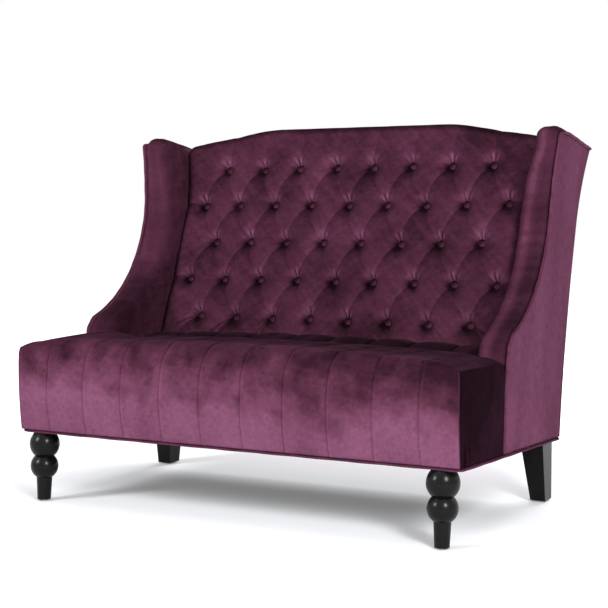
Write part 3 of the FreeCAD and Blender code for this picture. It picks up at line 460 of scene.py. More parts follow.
def to_path(px, ps, path):
    """Signed distance to a path and the share of its length at the nearest point."""
    best = np.full(px.shape, 1e9)
    sign = np.zeros(px.shape)
    share = np.zeros(px.shape)
    count = len(path) - 1
    for index, ((ax, low), (bx, high)) in enumerate(zip(path[:-1], path[1:])):
        dx, ds = bx - ax, high - low
        t = np.clip(((px - ax) * dx + (ps - low) * ds) / (dx * dx + ds * ds), 0, 1)
        qx, qs = px - ax - t * dx, ps - low - t * ds
        distance = np.hypot(qx, qs)
        closer = distance < best
        best = np.where(closer, distance, best)
        sign = np.where(closer, np.sign(ds * qx - dx * qs), sign)
        share = np.where(closer, (index + t) / count, share)
    return best * np.where(sign == 0, 1, sign), share


def round_button(button, x, s):
    """Offsets from a button, the distance and the angle from straight above it."""
    dx, ds = x - button.pulled_x, s - button.pulled_s
    around = np.arctan2(dx, ds) - 0.12 * math.sin(button.phase)
    return dx, ds, np.hypot(dx, ds), around


def pits_and_fans(x, s):
    """Distance from the nearest button, and the height of the tucks round the buttons."""
    near = np.full(x.shape, 1e9)
    fan = np.zeros(x.shape)
    for button in BUTTONS:
        _, _, r, around = round_button(button, x, s)
        pull = 1 + 0.16 * np.cos(around) + 0.05 * np.cos(3 * around + button.phase)
        near = np.minimum(near, r * pull)
        close = r < 75
        r, around = r[close], around[close]
        above = np.cos(around * TUCKS + button.phase) * bell(around, 0.62)
        reach = bell(np.clip(r - 13, -13, 90), 17)
        ring = np.cos(around * 8 + 2 * button.phase) * bell(r - 17, 7)
        fan[close] += TUCK_HEIGHT * (above * reach + 0.1 * ring)
    return near, fan


def folds_between(x, s):
    """Distance from the nearest fold of the back, and the depth of the folds."""
    edge = np.full(x.shape, LOBE_WIDE)
    folds = np.zeros(x.shape)
    for path, depth_a, depth_b, width in CREASES:
        low, high = path.min(0) - 55, path.max(0) + 55
        inside = (x > low[0]) & (x < high[0]) & (s > low[1]) & (s < high[1])
        distance, share = to_path(x[inside], s[inside], path)
        depth = depth_a + (depth_b - depth_a) * share
        edge[inside] = np.minimum(edge[inside], np.abs(distance) + (FOLD_WIDTH - depth) * 4)
        steep = np.where(distance > 0, distance / width, -distance / (width * 2.6))
        folds[inside] = np.maximum(folds[inside], depth * np.exp(-steep))
    return edge, folds


def tufting(x, s):
    """How far the back's cover lies below its fullest, in mm."""
    near, fan = pits_and_fans(x, s)
    edge, folds = folds_between(x, s)
    height = PIT_WALL * (1 - np.exp(-(near / PIT_REACH) ** 1.7)) + fan - folds
    height = height + LOBE * (1 - np.exp(-(np.clip(edge, 0, LOBE_WIDE) / LOBE_REACH) ** 1.4))
    height = height + 0.8 * waves(x, s, 70, 5) + 0.25 * waves(x, s, 14, 6)
    return PIT - height


def back_rows(across):
    """The back's cover in rows from its foot over the top: x, n, s, way up the cloth, turn."""
    x_top = across * 560
    for _ in range(3):
        x_top = across * (inner_x(camel(x_top) * COS_RAKE) - BACK_GAP)
    top = camel(x_top)
    rows = []
    for q in shares(9)[:-1]:
        x = across * (inner_x(lean_uw(BACK_FRONT, BACK_LOW)[1]) - BACK_GAP)
        n = BACK_REAR + (BACK_FRONT - BACK_REAR) * q
        rows.append((x, n, BACK_LOW, BACK_LOW, 0))
    for q in shares(BACK_FRONT_ROWS):
        s = BACK_LOW + q * (top - BACK_ROLL - BACK_LOW)
        x = across * (inner_x(lean_uw(BACK_FRONT, s)[1]) - BACK_GAP)
        rows.append((x, BACK_FRONT, s, s, 0))
    for turn in np.linspace(0, math.pi / 2, 15)[1:]:
        s = top - BACK_ROLL * (1 - math.sin(turn))
        n = BACK_FRONT + BACK_ROLL * (1 - math.cos(turn))
        rows.append((x_top, n, s, top - BACK_ROLL * (1 - turn), turn))
    for q in shares(26)[1:]:
        n = BACK_FRONT + BACK_ROLL + BACK_DECK * q
        wide = x_top * (1 + 0.015 * smoothstep(0, 0.3, q))
        cloth = top + BACK_ROLL * (math.pi / 2 - 1) + BACK_DECK * q
        rows.append((wide, n, top - 9 * q ** 2, cloth, math.pi / 2))
    return [np.array(column) for column in zip(*(np.broadcast_arrays(*row) for row in rows))]


def tufted_back():
    """Tufted back cushion, rounded into its side edges and rolled over the top rail."""
    across = np.linspace(-1, 1, BACK_COLUMNS)
    x, n, s, cloth, turn = back_rows(across)
    sink = tufting(x, cloth) * (1 - smoothstep(TUFTED_TO, PLAIN_FROM, cloth))
    border = np.clip(1 - (1 - np.abs(across)) * BACK_HALF / EDGE_WIDTH, 0, 1)[None, :]
    sink = sink + EDGE_DEPTH * (1 - np.sqrt(1 - border ** 2))
    hem = 14 * np.exp(-np.clip(cloth - BACK_LOW, 0, 400) / 7)
    n = np.minimum(n + (sink + hem) * np.cos(turn), np.maximum(n, BACK_REAR))
    s = s - np.minimum(sink, 16) * np.sin(turn)
    grid = leaning(x, n, s)
    behind = leaning(x[:, [0, -1]], np.maximum(n[:, [0, -1]], BACK_REAR), s[:, [0, -1]])
    grid = np.concatenate([behind[:, :1], grid, behind[:, 1:]], 1)
    return toned(closed(patches("tufted_back_cushion", [(grid, False)])), back_tone)


def button_shade(button, x, s):
    """Painted shadow low on the left of a button, with painted highlights and shade on the tucks
    above it.
    """
    dx, ds, r, around = round_button(button, x, s)
    shadow = 0.75 * np.exp(-((dx + 6) ** 2 + (ds + 8) ** 2) / 130)
    above = bell(around, 0.55) * bell(r - 18, 11) * (1 + 0.5 * math.sin(5 * button.x + button.s))
    return (0.03 + 0.36 * np.cos(around * TUCKS + button.phase)) * above - shadow


def back_tone(x, u, w, normal):
    """Painted light and shade: bright where the cover faces down, painted shade in the pits and
    along the wings, painted shadows and highlights round the buttons; random clouds, and a little
    darker up the back.
    """
    n = (u - BACK_FOOT) * COS_RAKE - w * SIN_RAKE
    s = (u - BACK_FOOT) * SIN_RAKE + w * COS_RAKE
    # Painted shade by the way the cover faces: lighter where it faces down and a little to the
    # right.
    painted_shade_and_lie = 0.12 * normal[:, 0] - 0.80 * (normal[:, 2] - 0.36)
    # Painted shadows and highlights round each button.
    for button in BUTTONS:
        painted_shade_and_lie = painted_shade_and_lie + button_shade(button, x, s)
    # Painted shade in the pits and beside the wings.
    pit_shade = smoothstep(-46, -26, n) * (s < camel(x) - 40)
    wing_groove_shade = 1 - smoothstep(0, 30, inner_x(w) - np.abs(x))
    cloud = 0.07 * waves(x, s, 260, 71) + 0.05 * waves(x + s, 0.4 * s, 45, 72)
    tone = 0.385 + 0.62 * painted_shade_and_lie + cloud - 0.05 * smoothstep(350, 850, s)
    return tone - 0.14 * pit_shade - 0.35 * wing_groove_shade


# Seat

# The front leans from its hem to FRONT_TOP, then rolls over into the top. A profile is how far
# the front bulges and how square its roll is.
SEAT_HEM = 7.8
FRONT_FOOT_U, FRONT_TOP_U = -3.0, -19.0
FRONT_LOW, FRONT_TOP = 8.2, 184.0
ROLL_U, ROLL_W, ROLL_RADIUS = 67.6, 168.2, 88.0
ROLL_START, ROLL_END = 169.7, 85.8
MIDDLE_PROFILE = (11.9, 2.0)
CORNER_PROFILE = (3.5, 3.8)

SEAT_CROWN = 256.0
SEAT_EDGE = 242.0
CORNER_W = 224.0
TOP_HALF = 558.0
NECK_HALF = 535.2
SIDE_END = 270.0
TAIL_START, TAIL_END = 268.0, 506.0
TAIL_BEND, TAIL_DROP = 478.0, 42.0

# The buttons of the seat lie in a valley across it
SEAT_BUTTON_U, SEAT_BUTTON_W = 372.0, 226.5
SEAT_BUTTONS_X = [(index - 3.5) * TUFT_X for index in range(SEAT_PANELS - 1)]
VALLEY_DEPTH, VALLEY_REACH = 12.0, 48.0
SEAT_PIT, SEAT_PIT_REACH = 15.0, 19.0
PLEAT_PITCH = 116.5
SEAT_STEP = 3.0


def seat_profile(bulge, power):
    """Profile of the seat front to rear as (u, w), from the tucked hem to the crown."""
    points = [(14, SEAT_HEM), (4, SEAT_HEM)]
    for t in shares(40):
        u = FRONT_FOOT_U + (FRONT_TOP_U - FRONT_FOOT_U) * t - bulge * (1 - (2 * t - 1) ** 2)
        points.append((u, FRONT_LOW + t * (FRONT_TOP - FRONT_LOW)))
    for angle in np.radians(np.linspace(ROLL_START, ROLL_END, 34)[1:]):
        back = math.copysign(abs(math.cos(angle)) ** (2 / power), math.cos(angle))
        up = math.sin(angle) ** (2 / power)
        points.append((ROLL_U + ROLL_RADIUS * back, ROLL_W + ROLL_RADIUS * up))
    for u in np.linspace(76, TAIL_START, 60):
        points.append((u, SEAT_CROWN))
    return np.array(points)


def seat_top(x, u):
    """Height of the seat's top behind the roll, before pleats."""
    crown = SEAT_CROWN - (np.abs(x) / TOP_HALF) ** 2 * (SEAT_CROWN - SEAT_EDGE)
    near_wing = smoothstep(430, 560, -x) * np.clip((u - 20) / 215, 0, 1) ** 0.8
    crown = crown + 15 * near_wing * (1 - smoothstep(262, 300, u))
    valley = VALLEY_DEPTH * bell(u - SEAT_BUTTON_U, VALLEY_REACH)
    rear = 5 * smoothstep(400, 470, u)
    return crown - valley + rear - 3 * smoothstep(200, 330, u)


def seat_sides_x(w):
    """Half width of the seat at a height: upright to the corner, then a pillowed slope."""
    upright = HALF - 3 * np.clip((w - 190) / 34, 0, 1) ** 2
    slope = np.clip((w - CORNER_W) / (SEAT_EDGE - CORNER_W), 0, 1)
    return upright - (HALF - 3 - TOP_HALF) * (1 - (1 - slope) ** 0.55)


def side_gap(x, u, w):
    """Distance from the seat cover's side edge."""
    limit = np.where(u > TAIL_START, NECK_HALF, seat_sides_x(np.minimum(w, SEAT_EDGE)))
    return limit - np.abs(x)


def pleat_sink(x, u, w):
    """Depth of the seat's pleats, less the puff between them."""
    pitch = PLEAT_PITCH + 3.5 * np.clip(u / 400, 0, 1)
    wander = 2.0 * np.sin(u / 90 + 1.3 * np.round(x / pitch - 0.5)) + 1.6 * np.sin(w / 60 + x / 230)
    place = (x + wander) / pitch + SEAT_PANELS / 2
    distance = np.abs(place - np.clip(np.round(place), 0, SEAT_PANELS)) * pitch
    on_top = smoothstep(60, 300, u)
    fold = (2.6 + 2.8 * on_top) * np.exp(-distance / (2.4 + 1.8 * on_top))
    arch = 1 - np.abs(2 * (place - np.floor(place)) - 1) ** 2.6
    outer = (1 - np.exp(-distance / 16)) * np.exp(-distance / 70)
    inside = (place > -0.02) & (place < SEAT_PANELS + 0.02)
    return fold - (1.5 + 3.0 * on_top) * np.where(inside, arch, outer)


def seat_button_sink(x, u):
    sink = np.zeros(x.shape)
    for button_x in SEAT_BUTTONS_X:
        distance = np.hypot(x - button_x, u - SEAT_BUTTON_U)
        sink = sink + SEAT_PIT * np.exp(-(distance / SEAT_PIT_REACH) ** 1.5)
    return sink


def seat_sheet(corner):
    """Front, roll and top of the seat in one cloth, with its side edges tucked down."""
    profile = even(seat_profile(*MIDDLE_PROFILE), len(corner))
    across = np.linspace(-1, 1, int(2 * HALF / SEAT_STEP * 1.3))
    half = seat_sides_x(np.minimum(corner[:, 1:], SEAT_EDGE))
    tail = np.linspace(TAIL_START, TAIL_END, int((TAIL_END - TAIL_START) / SEAT_STEP))[1:, None]
    to_neck = smoothstep(262, 271, np.concatenate([corner[:, :1], tail]))
    narrow = TOP_HALF - (TOP_HALF - NECK_HALF) * to_neck
    half = np.where(corner[:, :1] > 200, np.minimum(half, narrow[:len(half)]), half)
    square = smoothstep(0.80, 1.0, np.abs(across))[None, :, None]
    u, w = np.moveaxis(profile[:, None] + (corner - profile)[:, None] * square, 2, 0)
    x = across[None, :] * half
    w = np.where(w > 225, np.minimum(w, seat_top(x, u)), w)
    x_tail = across[None, :] * narrow[-len(tail):]
    u_tail = np.broadcast_to(tail, x_tail.shape)
    x, u = np.concatenate([x, x_tail]), np.concatenate([u, u_tail])
    w = np.concatenate([w, seat_top(x_tail, u_tail)])
    w = w - TAIL_DROP * smoothstep(TAIL_BEND, TAIL_END, u) ** 2
    base = body(x, u, w)
    fade = smoothstep(0, 26, side_gap(x, u, w)) * smoothstep(8.0, 15, w)
    sink = (pleat_sink(x, u, w) + 1.1 * waves(x * 0.6, u + w, 95, 11)) * fade
    sheet = base + normals(base) * (sink + seat_button_sink(x, u))[..., None] / 1000
    skirt = body(x, u, w - 50 * smoothstep(266, 271, u))
    return np.concatenate([skirt[:, :1], sheet, skirt[:, -1:]], 1)


def seat_side(side, corner):
    """A side of the seat, from its front corner to the wing."""
    rising = corner[: int(np.argmax(corner[:, 1] >= SEAT_EDGE)) + 1]
    rising = rising[rising[:, 1] > SEAT_HEM + 0.1]
    upright = np.linspace(rising[0, 1], 190, int(181 / SEAT_STEP))
    rounded = 180 + (SEAT_EDGE - 180) * np.sin(np.linspace(0.17, math.pi / 2, 26)[1:])
    heights = np.concatenate([upright, rounded])
    front = np.interp(heights, rising[:, 1], rising[:, 0])[:, None]
    share = shares(int(280 / SEAT_STEP))[None, :]
    u = front + share * (SIDE_END - front)
    w = np.broadcast_to(heights[:, None], u.shape)
    x = side * seat_sides_x(w)
    w = w - smoothstep(200, SEAT_EDGE, w) * (SEAT_EDGE - seat_top(side * TOP_HALF, u))
    points = body(x, u, w)
    gather = bell(u - 24, 34) * bell(w - 24, 26)
    drape = 1.1 * waves(u, w, 150, 21) + 1.6 * gather * np.sin(u / 4.2 + w / 26)
    belly = 3.5 * np.sin(share * math.pi)
    hold = smoothstep(0, 16, u - front) * smoothstep(0, 30, SEAT_EDGE - w) * smoothstep(8, 19, w)
    outward = normals(points)
    outward = outward * np.sign(outward[..., :1]) * side
    return points + outward * ((drape + belly) * hold)[..., None] / 1000, side < 0


def seat_cover():
    """Pleated seat: one cloth over the front and the top, and two sides sewn to it."""
    corner_lines = resampled(seat_profile(*MIDDLE_PROFILE), SEAT_STEP)
    corner = even(seat_profile(*CORNER_PROFILE), len(corner_lines))
    grids = [(seat_sheet(corner), True), seat_side(-1, corner), seat_side(1, corner)]
    piece = closed(welded(patches("pleated_seat_cover", grids), 0.0011))
    for edge in piece.data.edges:
        ends = [piece.data.vertices[index].co for index in edge.vertices]
        edge.use_edge_sharp = all(is_corner_seam(end) for end in ends)
    return toned(piece, seat_tone)


def is_corner_seam(place):
    """True for a point of a stitched front corner of the seat."""
    x, u, w = body_back(*place)
    return w < CORNER_W and u < 20 and abs(x) > seat_sides_x(w) - 0.8


def seat_front_tone(x, w):
    """Painted light and shade: bright below and dark above, a painted shade line and a painted
    highlight at each pleat, painted shade towards the upper right, with random crushed marks and
    streaks.
    """
    level = w + 40 * waves(x, w * 0.6, 190, 61) + 16 * waves(x, w, 60, 62) + 0.045 * x
    # Painted light and shade: bright low on the front, darker up over it.
    tone = 0.84 - 0.30 * smoothstep(85, 195, level) - 0.20 * smoothstep(188, 236, level)
    place = x / PLEAT_PITCH + SEAT_PANELS / 2
    distance = (place - np.clip(np.round(place), 0, SEAT_PANELS)) * PLEAT_PITCH
    # Painted shade line in each pleat and a painted highlight beside it.
    tone = tone + 0.07 * bell(distance - 4, 3) - 0.13 * bell(distance, 2.6)
    smudge = np.clip(waves(x + 0.8 * w, w - 0.5 * x, 105, 63), 0, 1)
    tone = tone - 0.16 * smudge * smoothstep(50, 150, w) - 0.03 * np.abs(waves(x, w, 24, 64))
    streak = waves(0.35 * x + 0.8 * w, w - 0.5 * x, 16, 68)
    # The streaks are random; the upper right of the front gets painted shade.
    return tone + 0.022 * streak - 0.10 * smoothstep(430, 620, x) * smoothstep(120, 200, w)


def seat_tone(x, u, w, normal):
    """The front's tone, with painted shade over the roll and the top, lighter towards the left of
    the top, and painted shade making the right side nearly black.
    """
    # Painted shade: the top is dark, and darker towards its rear.
    top = 0.12 + 0.07 * waves(x, u, 80, 65) - 0.10 * smoothstep(90, 300, u)
    top = top + 0.26 * smoothstep(330, 600, -x) * (1 - smoothstep(180, 320, u))
    over = smoothstep(40, 125, u + 14 * waves(x, u, 110, 66))
    tone = seat_front_tone(x, w) * (1 - over) + top * over
    # Painted shade: the right side of the seat is nearly black, a little lighter low down towards
    # the rear.
    right = (normal[:, 0] > 0.5) & (x > 540) & (u < 280)
    left = (normal[:, 0] < -0.5) & (x < -540) & (u < 280)
    tone = np.where(left, 0.55, tone)
    shade = 0.01 + 0.05 * smoothstep(-10, 60, -w + 0.9 * u + 20 * waves(u, w, 60, 67))
    return np.where(right, shade, tone)


def seat_buttons():
    up = (0.0, math.sin(PITCH), math.cos(PITCH))
    centres = [body(x, SEAT_BUTTON_U, SEAT_BUTTON_W) for x in SEAT_BUTTONS_X]
    return button_set("seat_buttons_covered", centres, up)


def corner_seam(side):
    """Stitched seam down a front corner of the seat."""
    profile = seat_profile(*CORNER_PROFILE)
    u, w = profile[(profile[:, 1] < CORNER_W + 2) & (profile[:, 1] > FRONT_LOW)].T
    points = body(side * (seat_sides_x(w) - 0.6), u + 0.6, w)
    piece = tube(f"seat_corner_seam_{SIDE_WORDS[side]}", points, 0.0011, 6)
    return toned(piece, level_and_facing_shade(0.45, 0.0, 0.0))


# Wings

# A wing's outline in (u, w): up from the foot, back in a sweep, up to the top
WING_FOOT = [(272, 4), (272, 187), (283, 264)]
WING_SWEEP = arc_points(175, 660, 390, -70.5, 0, 60)
WING_TOP_FRONT = (572, 780)
CREST_TOP = arc_points(597, 797, 25, 192, 90, 16) + [(650, 817), (705, 810), (760, 803),
                                                     (815, 797), (840, 790)]
WELT_TOP = arc_points(583, 789, 11, 180, 100, 12) + [(606, 803.5), (638, 803), (700, 796),
                                                    (770, 787), (839, 779)]
TOP_COUNT = 76
SEAM_N, SEAM_REAR_N = -34.0, 82.0
SEAM_TOP_W, SEAM_TOP_S = 772.0, 838.0
PAD_RADIUS = 30.0
PANEL_INSET = 2.5

# Tone of a pad with painted light and shade: its level, the painted highlight along the inner edge,
# the painted shade in the groove beside the piping and how much darker its foot is in painted shade
PadLook = namedtuple("PadLook", "level glow groove foot")
PAD_LOOKS = {-1: PadLook(0.50, 0.0, 0.0, 0.10), 1: PadLook(0.40, 0.24, 0.45, 0.02)}


def wing_paths():
    """Crest, piping and hidden rear line of a wing, matched point by point, as (u, w)."""
    front = softened(WING_FOOT + WING_SWEEP + [WING_TOP_FRONT], 10, 4.0)
    seam_w = front[:, 1] * SEAM_TOP_W / front[-1, 1]
    seam_s = (seam_w + SEAM_N * SIN_RAKE) / COS_RAKE
    seam_front = np.stack(lean_uw(SEAM_N, seam_s), 1)
    share = shares(TOP_COUNT)
    n = SEAM_N + (SEAM_REAR_N - SEAM_N) * smoothstep(0.1, 1, share)
    s = seam_s[-1] + (SEAM_TOP_S - seam_s[-1]) * smoothstep(0, 0.25, share)
    seam_top = np.stack(lean_uw(n, s), 1)
    joined = [np.concatenate([front, even(CREST_TOP, TOP_COUNT)[1:]]),
              np.concatenate([front, even(WELT_TOP, TOP_COUNT)[1:]]),
              np.concatenate([seam_front, seam_top[1:]])]
    return joined, len(front)


(CREST, WELT, SEAM), TOP_START = wing_paths()


def inward_of(path):
    """Directions to the inside of a wing's outline, square to it."""
    ahead = unit(np.gradient(path, axis=0))
    return np.stack([ahead[:, 1], -ahead[:, 0]], 1)


def relaxed(points, rounds):
    """Even out a grid of points inside its edges."""
    points = points.copy()
    for _ in range(rounds):
        middle = (points[:-2, 1:-1] + points[2:, 1:-1] + points[1:-1, :-2] + points[1:-1, 2:]) / 4
        points[1:-1, 1:-1] += 0.7 * (middle - points[1:-1, 1:-1])
    return points


def pad_columns(over):
    """Lines of a wing's pad from the piping round the edge to the back: x, and u and w.

    over is 0 up the front of the wing and 1 along its top.
    """
    inward = inward_of(CREST)
    columns = []
    for across in np.concatenate([[0, 0.03, 0.07], np.linspace(0.11, 1, 20)]):
        share = math.sin(across * math.pi / 2) ** (1 - 0.5 * over)
        line = WELT + (CREST - WELT) * share[:, None]
        groove = 2.0 + 5.0 * (across / 0.06) * math.exp(1 - across / 0.06)
        line = line - inward * (4.5 * math.sin(math.pi * min(across * 1.1, 1)) - groove)
        x = outer_x(line[:, 1]) - 1.0
        columns.append((x + (inner_x(line[:, 1]) + PAD_RADIUS - x) * across, line))
    for angle in np.linspace(0, math.pi / 2, 16)[1:]:
        line = CREST + inward * (PAD_RADIUS * (1 - math.cos(angle)))
        columns.append((inner_x(line[:, 1]) + PAD_RADIUS * (1 - math.sin(angle)), line))
    start = CREST + inward * PAD_RADIUS
    for share in shares(50)[1:]:
        line = start + (SEAM - start) * share
        pillow = 4.0 * math.sin(math.pi * share) * (1 - over) - 7.0 * smoothstep(0.93, 1, share)
        columns.append((inner_x(line[:, 1]) - pillow, line))
    return columns


def wing_pad(side):
    """Padded front and inner face of a wing, tucked in at the piping and at the back."""
    along = run_lengths(CREST)
    top_at = along[TOP_START]
    columns = pad_columns(smoothstep(top_at - 25, top_at + 60, along))
    x = np.stack([x for x, _ in columns], 1)
    lines = np.stack([line for _, line in columns], 1)
    points = relaxed(body(side * x, lines[..., 0], lines[..., 1]), 14)
    along = along[:, None]
    strip = np.arange(x.shape[1])[None, :] / x.shape[1]
    tugs = bell(along - top_at - 40, 45) * np.exp(-strip * 7) * np.sin(along / 3.6)
    ripple = 0.9 * waves(along, x + strip * 60, 130, 31 + side) + 0.9 * tugs
    hold = smoothstep(0, 0.06, strip) * (1 - smoothstep(0.95, 1, strip))
    points = points + normals(points) * side * (ripple * hold)[..., None] / 1000
    tuck = WELT + inward_of(WELT) * 10
    outer_tuck = body(side * (outer_x(tuck[:, 1]) - 4), *tuck.T)[:, None]
    inner_tuck = body(side * (inner_x(SEAM[:, 1]) + 20), *SEAM.T)[:, None]
    points = np.concatenate([outer_tuck, points, inner_tuck], 1)
    piece = closed(patches(f"wing_pad_{SIDE_WORDS[side]}_cover", [(points, side > 0)]))
    return toned(piece, pad_tone(side))


def pad_tone(side):
    """Tone of a wing's pad with painted light and shade: bright where it faces down, a painted
    highlight along the inner edge, painted shade beside the piping and at the foot.
    """
    look = PAD_LOOKS[side]

    def tone(x, u, w, normal):
        inside = inner_x(w) + 34 - np.abs(x)
        # Painted highlight along the inner edge, painted shade beside the piping and at the foot.
        level = look.level + look.glow * bell(inside - 8, 20)
        level = level - look.groove * bell(outer_x(w) - np.abs(x), 7)
        painted_shade_and_lie = 0.10 * side * normal[:, 0] - 0.26 * normal[:, 2]
        cloud = 0.06 * waves(u, w, 160, 73 + side) + 0.05 * waves(u, w, 38, 75 + side)
        return level + painted_shade_and_lie + cloud - look.foot * smoothstep(420, 260, w)

    return tone


def panel_grid():
    """Outer panel of a wing as u and w, its rows bent into the line of the top."""
    edge = WELT + inward_of(WELT) * PANEL_INSET
    front = edge[:TOP_START]
    share = shares(110)
    top = even(even([front[-1], *edge[TOP_START + 2:-1]], 60), len(share))
    rise = (front[:, 1] - front[0, 1]) / (front[-1, 1] - front[0, 1])
    front_w = HEM + rise * (front[-1, 1] - HEM)
    rear_w = HEM + rise * (top[-1, 1] - HEM)
    rear = rear_u(rear_w) - 4.5
    u = front[:, :1] + (rear[:, None] - front[:, :1]) * share
    w = front_w[:, None] + (rear_w - front_w)[:, None] * share
    weight = smoothstep(0.4, 1.0, shares(len(front)))[:, None]
    return u + weight * (top[:, 0] - u[-1]), w + weight * (top[:, 1] - w[-1])


def wing_panel(side):
    """Outer panel of a wing: a slightly swollen sheet with small tugs under the piping."""
    u, w = panel_grid()
    rows, columns = u.shape
    across = np.clip(np.sin(shares(columns) * math.pi), 0, 1) ** 0.5
    hold = across * np.clip(np.sin(shares(rows) * math.pi), 0, 1)[:, None] ** 0.35
    below = np.clip(w[-1] - w, 0, 900)
    tugs = np.exp(-below / 16) * np.clip(np.sin(u / 3.1 + 2 * np.sin(u / 29)), 0, 1) ** 2
    swell = 2.0 + 0.9 * waves(u, w * 0.5, 210, 41 + side) - 2.2 * tugs
    points = body(side * (outer_x(w) - 1.6 + swell * hold), u, w)
    piece = sheet_of(patches(f"wing_outer_panel_{SIDE_WORDS[side]}_cover", [(points, side < 0)]))

    def tone(x, u, w, normal):
        cloud = 0.045 * waves(u, w * 0.4, 180, 81 + side) + 0.03 * waves(u, w, 40, 83)
        weave = 0.012 * np.sin(u / 2.1)
        return 0.69 + cloud + weave - 0.03 * smoothstep(300, 800, w)

    return toned(piece, tone)


def wing_piping(side):
    u, w = WELT[WELT[:, 1] > HEM + 1].T
    wobble = 0.3 * np.sin(np.arange(len(u)) / 2.3 + side)
    points = body(side * (outer_x(w) + 0.4 + wobble), u - 1.0, w)
    piece = tube(f"wing_piping_{SIDE_WORDS[side]}", points, PIPING_RADIUS)
    # Painted shade: the piping is darker where it faces up.
    return toned(piece, level_and_facing_shade(0.62, 0.0, -0.25))


# Outside back and lower edge

OUTSIDE_TOP_N, OUTSIDE_TOP_DROP = 74.0, 9.0
OUTSIDE_CORNER_W = 783.0


def outside_back():
    """Outside back: a hollow sheet up to the camel top, and to the tops of the wings."""
    across = np.linspace(-1, 1, 300)
    top = 700 * np.ones(across.shape)
    for _ in range(3):
        x = across * (outer_x(top) - 1.0)
        crest_w = lean_uw(OUTSIDE_TOP_N, camel(x) - OUTSIDE_TOP_DROP)[1]
        top = crest_w + (OUTSIDE_CORNER_W - crest_w) * smoothstep(571, 579, np.abs(x))
    rows = shares(180)[:, None]
    w = HEM + rows * (top - HEM)
    x = across * (outer_x(w) - 0.6)
    hold = np.sin(rows * math.pi) ** 0.4 * (1 - np.abs(across) ** 8)
    u = rear_u(w) - 1.6 + (2.4 + 0.9 * waves(x, w, 260, 51)) * hold
    u = u - 3.0 * smoothstep(0.985, 1, np.abs(across)) - 4 * smoothstep(0.99, 1, rows)
    piece = sheet_of(patches("outside_back_cover", [(body(x, u, w), False)]))

    def tone(x, u, w, normal):
        return 0.66 + 0.05 * waves(x, w * 0.5, 240, 85) + 0.03 * waves(x, w, 50, 86)

    return toned(piece, tone)


def bottom_piping():
    """Piping round the lower edge, a ring with rounded corners."""
    radius, front, rear = 14.0, 17.0, 677.0
    side = HALF - radius
    path = []
    for x, u, start in ((side, front, -90), (side, rear, 0), (-side, rear, 90), (-side, front, 180)):
        path += arc_points(x, u, radius, start, start + 90, 8)
    path = resampled(path + path[:1], 6.0)[:-1]
    ripple = 0.35 * np.sin(np.arange(len(path)) / 3.1)
    points = body(path[:, 0], path[:, 1], 3.9 + ripple)
    piece = tube("bottom_piping", points, PIPING_RADIUS, loop=True)
    # Painted shade: the piping is darker where it faces up.
    return toned(piece, level_and_facing_shade(0.52, 0.0, -0.3))


# Materials

# Colours of the velvet from dark to bright, over a tone that holds the pile's patches and painted
# light and shade
VELVET_TONES = [(0.0, (0.0045, 0.0014, 0.0026)), (0.25, (0.029, 0.0086, 0.0165)),
                (0.5, (0.074, 0.021, 0.041)), (0.75, (0.145, 0.048, 0.091)),
                (1.0, (0.250, 0.092, 0.170))]
EVEN = (1, 1, 1)


def preset(node, values):
    """Set inputs of a node by their names."""
    for name, value in values.items():
        node.inputs[name].default_value = value


def shader(name):
    material = bpy.data.materials.new(name)
    material.use_nodes = True
    return material, material.node_tree, material.node_tree.nodes["Principled BSDF"]


def computed(tree, operation, *values):
    """Result of a math node whose inputs are sockets or numbers."""
    made = tree.nodes.new("ShaderNodeMath")
    made.operation = operation
    for socket, value in zip(made.inputs, values):
        if isinstance(value, float):
            socket.default_value = value
        else:
            tree.links.new(value, socket)
    return made.outputs[0]


def mapped(tree, source, low, high, start=0.0, end=1.0):
    """A value that runs from low to high while its source runs from start to end."""
    made = tree.nodes.new("ShaderNodeMapRange")
    preset(made, {"From Min": start, "From Max": end, "To Min": low, "To Max": high})
    tree.links.new(source, made.inputs["Value"])
    return made.outputs["Result"]


def stretched(tree, scale):
    """Object coordinates stretched by a scale."""
    place = tree.nodes.new("ShaderNodeTexCoord")
    fit = tree.nodes.new("ShaderNodeMapping")
    fit.inputs["Scale"].default_value = scale
    tree.links.new(place.outputs["Object"], fit.inputs["Vector"])
    return fit.outputs["Vector"]


def noise(tree, scale, detail, rough, stretch=EVEN):
    """Noise over the object, from coarse to fine by its scale."""
    made = tree.nodes.new("ShaderNodeTexNoise")
    preset(made, {"Scale": scale, "Detail": detail, "Roughness": rough})
    tree.links.new(stretched(tree, stretch), made.inputs["Vector"])
    return made.outputs["Fac"]


def colored(tree, skin, source, stops):
    """Color of a skin from a ramp over a source."""
    made = tree.nodes.new("ShaderNodeValToRGB")
    tree.links.new(source, made.inputs["Fac"])
    elements = made.color_ramp.elements
    while len(elements) < len(stops):
        elements.new(0.5)
    for element, (at, color) in zip(elements, stops):
        element.position = at
        element.color = (*color, 1)
    tree.links.new(made.outputs["Color"], skin.inputs["Base Color"])


def bumped(tree, skin, height, strength, distance):
    """Fine relief of a skin, from a height and over a distance in metres."""
    bump = tree.nodes.new("ShaderNodeBump")
    preset(bump, {"Strength": strength, "Distance": distance})
    tree.links.new(height, bump.inputs["Height"])
    tree.links.new(bump.outputs["Normal"], skin.inputs["Normal"])


